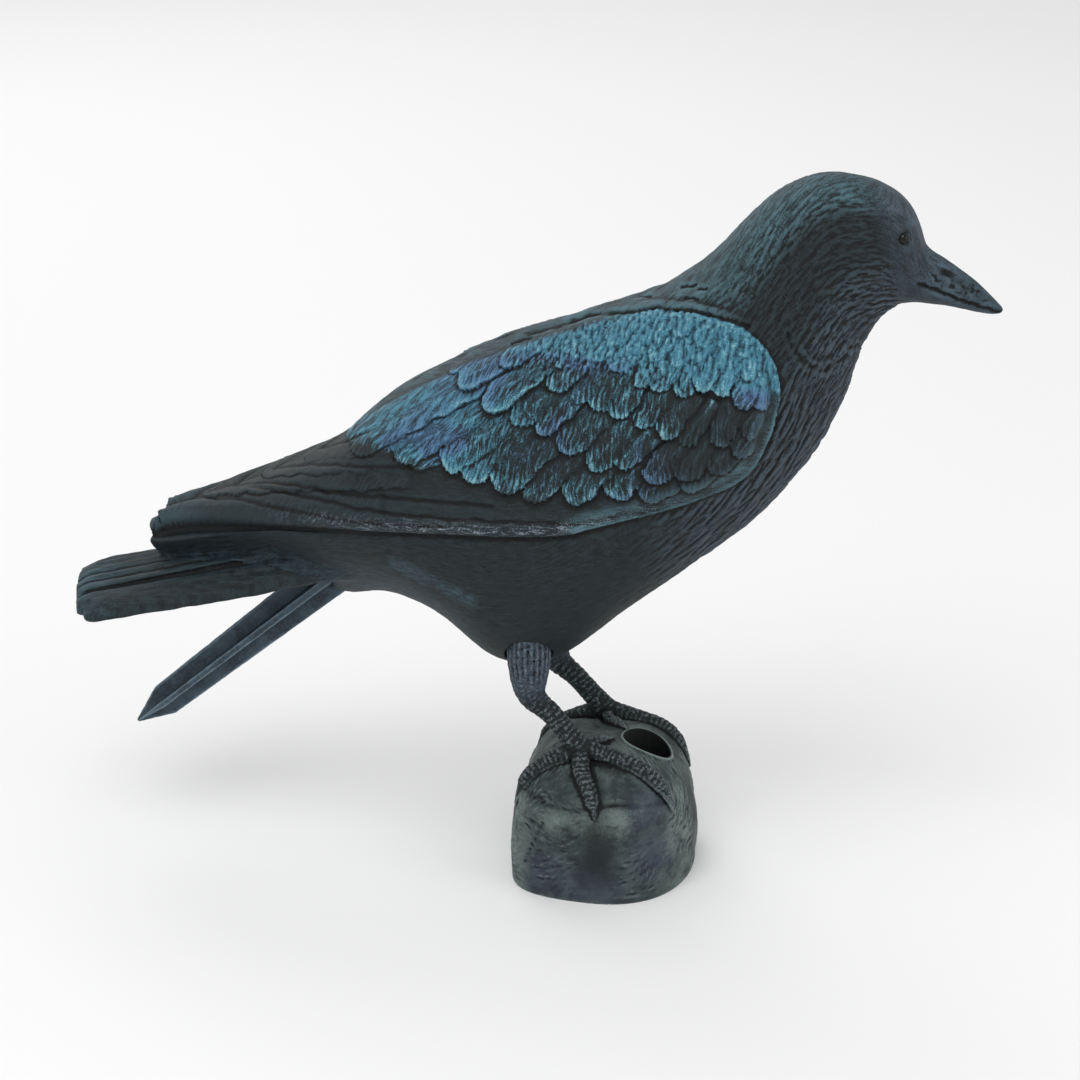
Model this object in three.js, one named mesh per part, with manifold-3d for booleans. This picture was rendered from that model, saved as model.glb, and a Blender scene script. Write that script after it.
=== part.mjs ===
// Crow decoy: a life-size moulded plastic crow standing on a boulder-shaped foot, with a garden stake
// plugged in under its tail. Three pieces: the body, the legs with their boulder, and the stake.
// Millimetres, +Z up. The bird faces +X and its left side is +Y. The origin is the middle of the
// boulder's flat underside.
import * as THREE from 'three';
import { mergeVertices } from 'three/addons/utils/BufferGeometryUtils.js';
import Module from 'manifold-3d';

const wasm = await Module();
wasm.setup();

// Driving dimensions of the body. Each section joins a point of the back line to a point of the
// belly line; half is half the width there, and waist is how far up from the belly it is widest. gable
// and keel are how full the parts above and below the waist are: 2 is round, and less is sharper.
const bodySections = [
  { back: [-196.5, 144.5], belly: [-193.5, 129], half: 11, waist: 0.6, gable: 2.2, keel: 1.2 },
  { back: [-185, 148.3], belly: [-184, 124.5], half: 17, waist: 0.68, gable: 1.9, keel: 1.0 },
  { back: [-161, 157.6], belly: [-161, 120.5], half: 24, waist: 0.72, gable: 1.8, keel: 0.9 },
  { back: [-136, 170.2], belly: [-137, 116.9], half: 30.5, waist: 0.66, gable: 1.8, keel: 0.95 },
  { back: [-112, 184.2], belly: [-113, 115.2], half: 36, waist: 0.58, gable: 1.85, keel: 1.2 },
  { back: [-91, 205.8], belly: [-91, 118.6], half: 41, waist: 0.5, gable: 1.95, keel: 1.6 },
  { back: [-66, 221.6], belly: [-69, 111.6], half: 43.5, waist: 0.46, gable: 2, keel: 1.9 },
  { back: [-40, 234.8], belly: [-44, 93], half: 45.5, waist: 0.48, gable: 2, keel: 2 },
  { back: [-13, 244.6], belly: [-20, 94.5], half: 46.5, waist: 0.48, gable: 2, keel: 2 },
  { back: [12, 252.8], belly: [11.9, 120], half: 46, waist: 0.48, gable: 2.05, keel: 2 },
  { back: [30, 262.8], belly: [38.9, 141.2], half: 44, waist: 0.47, gable: 2.1, keel: 2 },
  { back: [45.4, 275.9], belly: [66.2, 164.8], half: 40.5, waist: 0.47, gable: 2.1, keel: 2 },
  { back: [57.8, 289.8], belly: [86.4, 191.2], half: 33.5, waist: 0.48, gable: 2.1, keel: 2 },
  { back: [70.8, 301.3], belly: [98.3, 216.2], half: 27, waist: 0.52, gable: 2.15, keel: 2 },
  { back: [86.5, 307.5], belly: [104.5, 237], half: 22.5, waist: 0.56, gable: 2.2, keel: 2 },
  { back: [102, 306.5], belly: [111.4, 249.2], half: 20, waist: 0.58, gable: 2.25, keel: 2 },
  { back: [114, 302], belly: [118.4, 255.2], half: 17.5, waist: 0.6, gable: 2.2, keel: 2 },
  { back: [121.5, 295.5], belly: [123.5, 256.4], half: 14.6, waist: 0.58, gable: 2.1, keel: 2 },
  { back: [125.4, 288], belly: [127.5, 256.4], half: 12, waist: 0.52, gable: 2, keel: 2 },
  { back: [128.5, 279.8], belly: [131, 256.2], half: 9.8, waist: 0.48, gable: 1.9, keel: 2 },
  { back: [136, 274.8], belly: [138, 255.6], half: 8, waist: 0.45, gable: 1.8, keel: 2 },
  { back: [147, 267.4], belly: [147, 254], half: 5.6, waist: 0.42, gable: 1.7, keel: 2 },
  { back: [155.5, 260], belly: [155, 252.9], half: 3.4, waist: 0.42, gable: 1.8, keel: 2 },
  { back: [160.3, 255.2], belly: [159.5, 253], half: 1.2, waist: 0.5, gable: 2, keel: 2 },
];
const bodyRingsPerSection = 2;
const bodySides = 24;

// The wings are laid out on a drawing plane that leans back by drawingLean from the vertical: along
// is the distance forward, and rise is the distance up that plane.
const drawingLean = THREE.MathUtils.degToRad(20);
const wingThickness = 4;
const wingEdgeRound = 5;
const wingLowEdge = [[-192, 131], [-179, 133.8], [-158, 135.5], [-132, 136], [-60, 136.5], [-15, 138.5],
  [20, 147.5], [46, 157], [63, 167.5], [72, 184], [75.5, 200]];
const wingHighEdge = [[-192, 136], [-161, 151.5], [-112, 173], [-66, 204], [-13, 226], [2, 229.5],
  [24, 231.5], [52, 227.5], [65, 221], [73, 210.5], [75.5, 200]];
const shoulderBack = -20; // behind this the wing's high edge melts into the back

// Rows of wing feathers, from the flight feathers up to the shoulder. Tips go from rear to front; length,
// width and heading (the angle of the shaft above the horizontal, in degrees) run from rear to front.
const featherRows = [
  { tips: [[-192, 134], [-177, 146], [-150, 157.5]], length: [112, 92], width: [12, 14], heading: [-5.5, -9] },
  {
    tips: [[-107, 175], [-83, 167.5], [-58, 163], [-28, 158.5], [4, 156.5], [33, 160]],
    length: [64, 30],
    width: [16, 16],
    heading: [-25, -48],
  },
  {
    tips: [[-64, 201], [-42, 187], [-16, 175], [12, 166], [40, 171]],
    length: [42, 24],
    width: [17, 17],
    heading: [-27, -50],
  },
  {
    tips: [[-36, 213], [-14, 199], [11, 184], [36, 180], [56, 186]],
    length: [30, 18],
    width: [16, 14],
    heading: [-28, -56],
  },
  {
    tips: [[-8, 220], [13, 207], [36, 195], [58, 200]],
    length: [24, 16],
    width: [15, 14],
    heading: [-30, -56],
  },
];
const featherBaseLift = 0.4;
const featherTipLift = 1.8;
const featherEdgeLift = 1.2;

// Driving dimensions of the tail: a fan of flat feathers with a rounded end, highest in the middle.
const tailEnd = -230.5;
const tailRoot = -102;
const tailFeathersPerSide = 4;
const tailHalfWidth = 34;
const tailSlope = 0.19;
const tailUnderside = 123.4; // underside height of the outermost feather at tailDatum
const tailDatum = -128;
const tailFeatherThickness = 7;
const tailCrown = { root: 18, end: 8 };

// Driving dimensions of the legs and the boulder. The bird stands in a short stride: its left leg and
// foot are a little ahead of the right ones.
const legSpread = 22; // each leg's distance from the middle plane
const leftLegAhead = 4;
const thighForward = -28.8;
const thighTop = 111;
const heelForward = -27.6;
const heelHeight = 84;
const footForward = -6.5;
const footHeight = 61;
const thighRadius = 9.1;
const tarsusRadius = 4.4;
const toeRadius = 3.5;
const toeSeat = 2;
const clawRadius = 2;
const toeRoutes = {
  front: [[6, -22.5, 58], [18, -23, 52], [26, -23.5, 46], [31, -24, 40], [33.5, -24, 35]],
  back: [[-18, -22.5, 54], [-26, -23, 47], [-31, -24, 40], [-34, -24.5, 34]],
  outer: [[-5, -30, 54], [-1, -36, 48], [2, -40, 41], [3, -42, 34]],
  inner: [[-4, -14, 59], [1, -9, 59], [4.5, -5, 58]],
};
const boulderHalfLength = 38.7;
const boulderHalfWidth = 44.5;
const boulderHeight = 59;
const boulderPower = { x: 3, y: 3.2, z: 3 };
const boulderSides = 22;
const boulderRings = 8;
const stakeHoleRadius = 10;
const stakeHoleCentre = [18.5, 0];
const socketGap = 0.9;

// Driving dimensions of the stake: four fins in a cross, tapered to a point.
const stakeTip = new THREE.Vector3(-207, 0, 49.5);
const stakeLean = THREE.MathUtils.degToRad(50); // from the vertical
const stakeLength = 117;
const stakeFin = 9.2;
const stakeFinAtPoint = 7.2;
const stakeFinThickness = 3.4;
const stakePointLength = 17;
const stakeSocketGap = 0.4;

// A smooth curve through the given knots, with each slope taken from the two neighbours.
function smooth(knots, values) {
  const last = knots.length - 1;
  const slope = values.map((v, i) => {
    const a = Math.max(i - 1, 0);
    const b = Math.min(i + 1, last);
    return (values[b] - values[a]) / (knots[b] - knots[a]);
  });
  return (x) => {
    let i = knots.findIndex((k) => k > x) - 1;
    if (x <= knots[0]) i = 0;
    if (i < 0) i = last - 1;
    const step = knots[i + 1] - knots[i];
    const u = THREE.MathUtils.clamp((x - knots[i]) / step, 0, 1);
    const ease = u * u * (3 - 2 * u);
    return values[i] * (1 - ease) + values[i + 1] * ease
      + step * u * (1 - u) * ((1 - u) * slope[i] - u * slope[i + 1]);
  };
}

// A sphere of unit radius whose vertices are shared, the starting shape of every skinned piece.
function unitSphere(around, along) {
  const sphere = new THREE.SphereGeometry(1, around, along);
  sphere.deleteAttribute('normal');
  sphere.deleteAttribute('uv');
  return mergeVertices(sphere);
}

// Turns a closed geometry into a solid, with its faces outwards.
function solidFrom(geometry) {
  const vertProperties = new Float32Array(geometry.attributes.position.array);
  const triVerts = new Uint32Array(geometry.index.array);
  const p = (i) => new THREE.Vector3().fromArray(vertProperties, 3 * i);
  let volume = 0;
  for (let i = 0; i < triVerts.length; i += 3) {
    volume += p(triVerts[i]).dot(p(triVerts[i + 1]).cross(p(triVerts[i + 2])));
  }
  if (volume < 0) {
    for (let i = 0; i < triVerts.length; i += 3) {
      [triVerts[i + 1], triVerts[i + 2]] = [triVerts[i + 2], triVerts[i + 1]];
    }
  }
  return new wasm.Manifold(new wasm.Mesh({ numProp: 3, vertProperties, triVerts }));
}

// A solid skinned over rings. place(t, angle) gives a surface point for t from 0 to 1.
function skinned(rings, around, place) {
  const geometry = unitSphere(around, rings + 1);
  const position = geometry.attributes.position;
  const capCentre = (t) => {
    const sum = new THREE.Vector3();
    for (let k = 0; k < around; k += 1) sum.add(place(t, (2 * Math.PI * k) / around));
    return sum.divideScalar(around);
  };
  for (let i = 0; i < position.count; i += 1) {
    const polar = Math.acos(THREE.MathUtils.clamp(position.getY(i), -1, 1));
    const ring = Math.round((polar / Math.PI) * (rings + 1));
    const t = THREE.MathUtils.clamp((ring - 1) / (rings - 1), 0, 1);
    const isPole = ring === 0 || ring === rings + 1;
    const point = isPole ? capCentre(t) : place(t, Math.atan2(position.getZ(i), position.getX(i)));
    position.setXYZ(i, point.x, point.y, point.z);
  }
  return solidFrom(geometry);
}

// A round limb along a path, with its radius read from a curve of t.
function limb(points, radiusAt, rings, around) {
  const path = new THREE.CatmullRomCurve3(points);
  const side = new THREE.Vector3(0, 1, 0);
  return skinned(rings, around, (t, angle) => {
    const tangent = path.getTangentAt(t);
    const right = side.clone().addScaledVector(tangent, -side.dot(tangent));
    if (right.length() < 0.3) right.set(1, 0, 0).addScaledVector(tangent, -tangent.x);
    right.normalize();
    const up = tangent.clone().cross(right);
    const radius = radiusAt(t, angle);
    return path.getPointAt(t)
      .addScaledVector(right, radius * Math.cos(angle))
      .addScaledVector(up, radius * Math.sin(angle));
  });
}

const power = (x, n) => Math.sign(x) * Math.abs(x) ** n;

// Body
const sectionKnots = bodySections.reduce((knots, section, i) => {
  if (i === 0) return [0];
  const before = bodySections[i - 1];
  const gap = (end) => Math.hypot(section[end][0] - before[end][0], section[end][1] - before[end][1]);
  return [...knots, knots[i - 1] + (gap('back') + gap('belly')) / 2];
}, []);
const rail = (read) => smooth(sectionKnots, bodySections.map(read));
const backX = rail((s) => s.back[0]);
const backZ = rail((s) => s.back[1]);
const bellyX = rail((s) => s.belly[0]);
const bellyZ = rail((s) => s.belly[1]);
const halfWidth = rail((s) => s.half);
const waistShare = rail((s) => s.waist);
const gableRound = rail((s) => s.gable);
const keelRound = rail((s) => s.keel);

function bodyPoint(s, angle) {
  const sine = Math.sin(angle);
  const round = sine > 0 ? gableRound(s) : keelRound(s);
  const waist = waistShare(s);
  const share = waist + power(sine, 2 / round) * (sine > 0 ? 1 - waist : waist);
  return new THREE.Vector3(
    bellyX(s) + (backX(s) - bellyX(s)) * share,
    halfWidth(s) * power(Math.cos(angle), 2 / round),
    bellyZ(s) + (backZ(s) - bellyZ(s)) * share,
  );
}

function makeTrunk() {
  const spans = bodySections.length - 1;
  const rings = spans * bodyRingsPerSection + 1;
  return skinned(rings, bodySides, (t, angle) => {
    const span = Math.min(Math.floor(t * spans), spans - 1);
    const s = THREE.MathUtils.lerp(sectionKnots[span], sectionKnots[span + 1], t * spans - span);
    return bodyPoint(s, angle);
  });
}

// The point of the trunk's side that lies at (along, rise) on the drawing plane, raised by lift.
function onSide(along, rise, lift, side) {
  const riseOf = (p) => p.z * Math.cos(drawingLean) - p.y * Math.sin(drawingLean);
  let low = -Math.PI / 2;
  let high = Math.PI / 2;
  let s = 0;
  for (let i = 0; i < 40; i += 1) {
    const angle = (low + high) / 2;
    let sLow = 0;
    let sHigh = sectionKnots[sectionKnots.length - 1];
    for (let k = 0; k < 24; k += 1) {
      s = (sLow + sHigh) / 2;
      if (bodyPoint(s, angle).x < along) sLow = s;
      else sHigh = s;
    }
    if (riseOf(bodyPoint(s, angle)) < rise) low = angle;
    else high = angle;
  }
  const angle = Math.min((low + high) / 2, Math.PI / 2 - 0.02);
  const reach = 0.02;
  const point = bodyPoint(s, angle);
  const alongSkin = bodyPoint(s + 1, angle).sub(bodyPoint(s - 1, angle));
  const aroundSkin = bodyPoint(s, angle + reach).sub(bodyPoint(s, angle - reach));
  const normal = alongSkin.cross(aroundSkin).normalize();
  if (normal.y < 0) normal.negate();
  point.addScaledVector(normal, lift);
  point.y *= side;
  return point;
}

const edge = (points) => smooth(points.map((p) => p[0]), points.map((p) => p[1]));
const lowEdge = edge(wingLowEdge);
const highEdge = edge(wingHighEdge);

// How far the wing stands proud of the trunk: a rounded edge below and in front, none at the back.
function wingLift(along, rise) {
  const low = lowEdge(along);
  const high = highEdge(along);
  const quarterRound = (d) => Math.sqrt(1 - (1 - THREE.MathUtils.clamp(d / wingEdgeRound, 0, 1)) ** 2);
  const share = THREE.MathUtils.clamp((rise - low) / Math.max(high - low, 0.1), 0, 1);
  const kept = 0.5 * THREE.MathUtils.smoothstep(along, shoulderBack, -shoulderBack);
  const fade = THREE.MathUtils.lerp(1, kept, THREE.MathUtils.smoothstep(share, 0.45, 1));
  const topRound = quarterRound(high - rise + wingEdgeRound * (1 - kept));
  return wingThickness * quarterRound(rise - low) * fade * topRound;
}

// A thin solid laid on the trunk's side: a box whose length and width follow outline(u, v), whose top
// is raised by top(u, v), and whose bottom is sunk under the skin.
function laidOn(side, lengthSteps, widthSteps, outline, top) {
  const box = new THREE.BoxGeometry(1, 1, 1, lengthSteps, widthSteps, 1);
  box.deleteAttribute('normal');
  box.deleteAttribute('uv');
  const geometry = mergeVertices(box);
  const position = geometry.attributes.position;
  const sunk = -2.5;
  for (let i = 0; i < position.count; i += 1) {
    const u = position.getX(i) + 0.5;
    const v = position.getY(i) * 2;
    const [along, rise] = outline(u, v);
    const lift = position.getZ(i) > 0 ? top(u, v, along, rise) : sunk;
    const point = onSide(along, rise, lift, side);
    position.setXYZ(i, point.x, point.y, point.z);
  }
  return solidFrom(geometry);
}

function makeWing(side) {
  const rear = wingLowEdge[0][0];
  const front = wingLowEdge[wingLowEdge.length - 1][0];
  const inset = 0.5;
  return laidOn(side, 15, 4, (u, v) => {
    const along = THREE.MathUtils.lerp(rear, front - inset, Math.sin((u * Math.PI) / 2) ** 0.9);
    return [along, THREE.MathUtils.lerp(lowEdge(along), highEdge(along), (v + 1) / 2)];
  }, (u, v, along, rise) => wingLift(along, rise) - 0.3);
}

// One wing feather: parallel sides, a round tip, and a top that climbs to the tip and the lower edge.
function makeFeather(side, tip, length, width, heading) {
  const angle = THREE.MathUtils.degToRad(heading);
  const shaft = [-Math.cos(angle), Math.sin(angle)];
  const across = [-shaft[1], shaft[0]];
  const roundFrom = 1 - Math.min(0.5, (0.6 * width) / length);
  return laidOn(side, 3, 2, (u, v) => {
    const station = u < 0.99 ? (u * 3 * (roundFrom + (1 - roundFrom) * 0.3)) / 2 : 1;
    const squeeze = u > 0.99 ? 0.5 : 1;
    const drop = u > 0.99 ? Math.abs(v) * 0.22 * width : 0;
    const back = length * (1 - station) + drop;
    const off = (v * squeeze * width) / 2;
    return [tip[0] - shaft[0] * back + across[0] * off, tip[1] - shaft[1] * back + across[1] * off];
  }, (u, v, along, rise) => {
    const sunk = u < 0.01 ? 2 : 0;
    const lift = featherBaseLift + featherTipLift * u + (featherEdgeLift * (v + 1)) / 2;
    return wingLift(along, rise) + lift - sunk;
  });
}

// One tail feather, a long flat blade; place runs from -tailFeathersPerSide to tailFeathersPerSide.
function makeTailFeather(place) {
  const share = place / tailFeathersPerSide;
  const halfBlade = 8.4;
  const endSetBack = 25;
  const centreAtEnd = share * (tailHalfWidth - halfBlade);
  const centreAtRoot = centreAtEnd * 0.5;
  const end = tailEnd + endSetBack * (1 - Math.sqrt(1 - (share * 0.82) ** 2));
  const box = new THREE.BoxGeometry(1, 1, 1, 3, 2, 1);
  box.deleteAttribute('normal');
  box.deleteAttribute('uv');
  const geometry = mergeVertices(box);
  const position = geometry.attributes.position;
  for (let i = 0; i < position.count; i += 1) {
    const u = position.getX(i) + 0.5;
    const v = position.getY(i) * 2;
    const isEnd = u > 0.99;
    const x = THREE.MathUtils.lerp(tailRoot, end, u) + (isEnd ? Math.abs(v) * 3.5 : 0);
    const y = THREE.MathUtils.lerp(centreAtRoot, centreAtEnd, u) + v * halfBlade * (isEnd ? 0.62 : 1);
    const crown = THREE.MathUtils.lerp(tailCrown.root, tailCrown.end, u) * (1 - share ** 2);
    const under = tailUnderside + tailSlope * (x - tailDatum);
    const outwards = v * Math.sign(place);
    const tilt = place === 0 ? -Math.abs(v) * 0.8 : -outwards * 0.9;
    const thin = isEnd ? 1.6 : 0;
    const z = position.getZ(i) > 0
      ? under + tailFeatherThickness + crown + tilt - thin
      : under + crown * 0.35 + thin * 0.5 + Math.abs(share) * tilt * 0.4;
    position.setXYZ(i, x, y, z);
  }
  return solidFrom(geometry);
}

// The groove between the upper and lower half of the beak, on one side.
function makeMouthGroove(side) {
  const route = [[127, 267], [134, 263.8], [142, 260], [151, 256.4], [158, 254.4]];
  const width = [10.3, 7.9, 5.9, 3.8, 1.9];
  const points = route.map(([x, z], i) => new THREE.Vector3(x, side * width[i], z));
  return limb(points, () => 0.75, 6, 6);
}

function makeEye(side) {
  const eye = unitSphere(10, 6);
  eye.scale(3.4, 3.4, 3.4);
  eye.translate(120, side * 13.9, 285.8);
  return solidFrom(eye);
}

// Legs and boulder
// Surface value of the boulder: 1 on its skin, less inside.
function boulderValue(p) {
  return Math.abs(p.x / boulderHalfLength) ** boulderPower.x
    + Math.abs(p.y / boulderHalfWidth) ** boulderPower.y
    + Math.abs(p.z / boulderHeight) ** boulderPower.z;
}

// The point of the boulder's skin towards a given point, seen from inside the boulder, raised by lift.
function onBoulder(x, y, z, lift) {
  const inside = new THREE.Vector3(0, 0, 18);
  const ray = new THREE.Vector3(x, y, z).sub(inside).normalize();
  let near = 0;
  let far = 90;
  for (let i = 0; i < 40; i += 1) {
    const reach = (near + far) / 2;
    if (boulderValue(inside.clone().addScaledVector(ray, reach)) < 1) near = reach;
    else far = reach;
  }
  return inside.addScaledVector(ray, near + lift);
}

function makeBoulder() {
  const foot = 0.975; // the plan draws in a little at the floor
  return skinned(boulderRings, boulderSides, (t, angle) => {
    const z = boulderHeight * Math.sin((t * Math.PI) / 2) ** 0.72 * (t < 1 ? 1 : 0.9999);
    const left = Math.max(1 - (z / boulderHeight) ** boulderPower.z, 0);
    const sway = 1 + 0.025 * Math.sin(3 * angle + 0.6) + 0.02 * Math.sin(5 * angle + 2);
    const draw = THREE.MathUtils.lerp(foot, 1, Math.min(z / 12, 1)) * sway;
    const c = Math.cos(angle);
    const s = Math.sin(angle);
    let low = 0;
    let high = 2;
    for (let i = 0; i < 30; i += 1) {
      const r = (low + high) / 2;
      if (Math.abs(r * c) ** boulderPower.x + Math.abs(r * s) ** boulderPower.y < left) low = r;
      else high = r;
    }
    return new THREE.Vector3(low * c * boulderHalfLength * draw, low * s * boulderHalfWidth * draw, z);
  });
}

// One leg with its foot, on the right side; ahead moves it forward, and the foot stays on the boulder.
function makeLeg(ahead) {
  const foot = new THREE.Vector3(footForward + ahead, -legSpread, footHeight);
  const at = (x, z) => new THREE.Vector3(x + ahead * 0.7, -legSpread, z);
  const shank = [
    at(thighForward, thighTop),
    at(thighForward, 98),
    at(heelForward, heelHeight),
    at(heelForward + 9, 75),
    foot.clone().add(new THREE.Vector3(-3, 0, 3)),
    foot,
  ];
  const radii = [thighRadius, thighRadius, 7.5, 5.8, 4.6, tarsusRadius, 4.9];
  const radius = smooth([0, 0.18, 0.36, 0.48, 0.6, 0.8, 1], radii);
  const parts = [limb(shank, (t) => radius(t), 11, 10)];
  const toeRound = smooth([0, 0.3, 0.72, 0.8, 1], [4.2, toeRadius, toeRadius - 0.5, clawRadius, 0.5]);
  Object.values(toeRoutes).forEach((route) => {
    const points = route.map(([x, y, z], i) => {
      const left = 1 - i / (route.length - 1);
      return onBoulder(x + ahead * left, y, z, toeSeat * (0.4 + 0.6 * left));
    });
    parts.push(limb([foot, ...points], (t) => toeRound(t), 6, 6));
  });
  return wasm.Manifold.union(parts);
}

function makeLegsAndBoulder() {
  const hole = new THREE.CylinderGeometry(stakeHoleRadius, stakeHoleRadius, 2.4 * boulderHeight, 20);
  hole.deleteAttribute('normal');
  hole.deleteAttribute('uv');
  hole.rotateX(Math.PI / 2).translate(stakeHoleCentre[0], stakeHoleCentre[1], 0);
  return wasm.Manifold.union([makeBoulder(), makeLeg(0), makeLeg(leftLegAhead).mirror([0, 1, 0])])
    .subtract(solidFrom(mergeVertices(hole)));
}

// Stake
// The cross section of the stake, grown on every side by grow.
function crossShape(grow) {
  const a = stakeFin + grow;
  const b = stakeFinThickness / 2 + grow;
  const arm = [new THREE.Vector2(b, b), new THREE.Vector2(b, a), new THREE.Vector2(-b, a)];
  const centre = new THREE.Vector2();
  const turned = (quarter) => arm.map((p) => p.clone().rotateAround(centre, (quarter * Math.PI) / 2));
  return new THREE.Shape([0, 1, 2, 3].flatMap(turned));
}

// The stake in its own frame, top at the origin and point down -Z, before it is leaned into place.
function makeStake(grow) {
  const steps = 7;
  const bar = new THREE.ExtrudeGeometry(crossShape(grow), { depth: 1, steps, bevelEnabled: false });
  bar.deleteAttribute('normal');
  bar.deleteAttribute('uv');
  const geometry = mergeVertices(bar);
  const position = geometry.attributes.position;
  for (let i = 0; i < position.count; i += 1) {
    const step = Math.round(position.getZ(i) * steps);
    const shank = stakeLength - stakePointLength;
    const isPoint = step === steps;
    const depth = isPoint ? stakeLength + grow : (shank * step) / (steps - 1);
    const taper = THREE.MathUtils.lerp(1, stakeFinAtPoint / stakeFin, Math.min(depth / shank, 1));
    const x = position.getX(i);
    const y = position.getY(i);
    const reach = stakeFin * taper + grow;
    const squeeze = (c) => (isPoint ? c * 0.09 : THREE.MathUtils.clamp(c, -reach, reach));
    position.setXYZ(i, squeeze(x), squeeze(y), -depth);
  }
  return geometry;
}

const stakeTop = stakeTip.clone().add(
  new THREE.Vector3(Math.sin(stakeLean), 0, Math.cos(stakeLean)).multiplyScalar(stakeLength),
);

// Assembly of the body, with the sockets that the legs and the stake plug into
function makeBody() {
  const parts = [makeTrunk(), makeEye(1), makeEye(-1)];
  [1, -1].forEach((side) => {
    parts.push(makeWing(side));
    featherRows.forEach((row) => {
      row.tips.forEach((tip, i) => {
        const at = ([rear, front]) => THREE.MathUtils.lerp(rear, front, i / (row.tips.length - 1));
        parts.push(makeFeather(side, tip, at(row.length), at(row.width), at(row.heading)));
      });
    });
  });
  for (let place = -tailFeathersPerSide; place <= tailFeathersPerSide; place += 1) {
    parts.push(makeTailFeather(place));
  }
  const legSocket = (ahead) => limb(
    [thighTop + 0.6, heelHeight].map((z) => new THREE.Vector3(thighForward + ahead * 0.7, -legSpread, z)),
    () => thighRadius + socketGap,
    3,
    14,
  );
  const stakeSocket = makeStake(stakeSocketGap);
  stakeSocket.translate(0, 0, stakeSocketGap);
  stakeSocket.rotateY(stakeLean).translate(stakeTop.x, stakeTop.y, stakeTop.z);
  const cuts = [legSocket(0), legSocket(leftLegAhead).mirror([0, 1, 0]), solidFrom(stakeSocket),
    makeMouthGroove(1), makeMouthGroove(-1)];
  return wasm.Manifold.union(parts).subtract(wasm.Manifold.union(cuts));
}

// A solid back as a geometry: its outer skin only, without facets that matter less than 0.35 mm.
function geometryFrom(solid) {
  const skins = solid.simplify(0.35).decompose();
  const mesh = skins.reduce((a, b) => (b.volume() > a.volume() ? b : a)).getMesh();
  const geometry = new THREE.BufferGeometry();
  geometry.setAttribute('position', new THREE.BufferAttribute(mesh.vertProperties, 3));
  geometry.setIndex(new THREE.BufferAttribute(mesh.triVerts, 1));
  geometry.computeVertexNormals();
  return geometry;
}

const plumage = new THREE.MeshStandardMaterial({ color: 0x26323a, roughness: 0.55, metalness: 0.1 });
const footPlastic = new THREE.MeshStandardMaterial({ color: 0x38454a, roughness: 0.6, metalness: 0.05 });
const stakePlastic = new THREE.MeshStandardMaterial({ color: 0x35444e, roughness: 0.5, metalness: 0.05 });

const decoy = new THREE.Group();

const body = new THREE.Mesh(geometryFrom(makeBody()), plumage);
body.name = 'body';
decoy.add(body);

const legs = new THREE.Mesh(geometryFrom(makeLegsAndBoulder()), footPlastic);
legs.name = 'legs_on_boulder';
decoy.add(legs);

const stake = new THREE.Mesh(geometryFrom(solidFrom(makeStake(0))), stakePlastic);
stake.name = 'ground_stake';
stake.position.copy(stakeTop);
stake.rotation.y = stakeLean;
decoy.add(stake);

export default decoy;
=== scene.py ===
import math

import bpy
import numpy as np
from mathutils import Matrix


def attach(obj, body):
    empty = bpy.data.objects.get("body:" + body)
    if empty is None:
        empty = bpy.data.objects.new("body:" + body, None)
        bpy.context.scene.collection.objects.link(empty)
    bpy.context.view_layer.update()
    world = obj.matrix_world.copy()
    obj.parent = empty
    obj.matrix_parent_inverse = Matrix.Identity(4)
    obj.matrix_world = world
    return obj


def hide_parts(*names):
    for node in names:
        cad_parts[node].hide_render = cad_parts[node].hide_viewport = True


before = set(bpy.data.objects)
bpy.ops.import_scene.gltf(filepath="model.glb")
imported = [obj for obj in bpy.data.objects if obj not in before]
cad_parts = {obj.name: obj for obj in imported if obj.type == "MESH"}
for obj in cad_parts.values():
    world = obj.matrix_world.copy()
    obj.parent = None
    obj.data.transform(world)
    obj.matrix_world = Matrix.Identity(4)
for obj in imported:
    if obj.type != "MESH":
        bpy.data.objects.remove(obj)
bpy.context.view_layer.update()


# Body: head, beak, wings and tail in one hollow blow-moulded polyethylene shell, satin and slightly
# grainy from the mould. It is dark all through, then dry-brushed: teal on the wings, blue-grey on the
# back, crown and breast, and a little off-white along the lower wing edge. Lengths here are in mm.
MM = 0.001


def deselect():
    if bpy.context.object and bpy.context.object.mode == "EDIT":
        bpy.ops.object.mode_set(mode="OBJECT")
    bpy.ops.object.select_all(action="DESELECT")


def pick(*pieces):
    deselect()
    for piece in pieces:
        piece.select_set(True)
    bpy.context.view_layer.objects.active = pieces[0]


def points_of(piece):
    flat = np.empty(len(piece.data.vertices) * 3)
    piece.data.vertices.foreach_get("co", flat)
    return flat.reshape(-1, 3) / MM


def move_points(piece, points):
    piece.data.vertices.foreach_set("co", (points * MM).ravel())
    piece.data.update()


def normals_of(piece):
    flat = np.empty(len(piece.data.vertices) * 3, np.float32)
    piece.data.vertex_normals.foreach_get("vector", flat)
    return flat.reshape(-1, 3)


def apply_modifier(piece, kind, **settings):
    pick(piece)
    bpy.ops.object.modifier_add(type=kind)
    modifier = piece.modifiers[-1]
    for key, value in settings.items():
        setattr(modifier, key, value)
    bpy.ops.object.modifier_apply(modifier=modifier.name)


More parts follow.
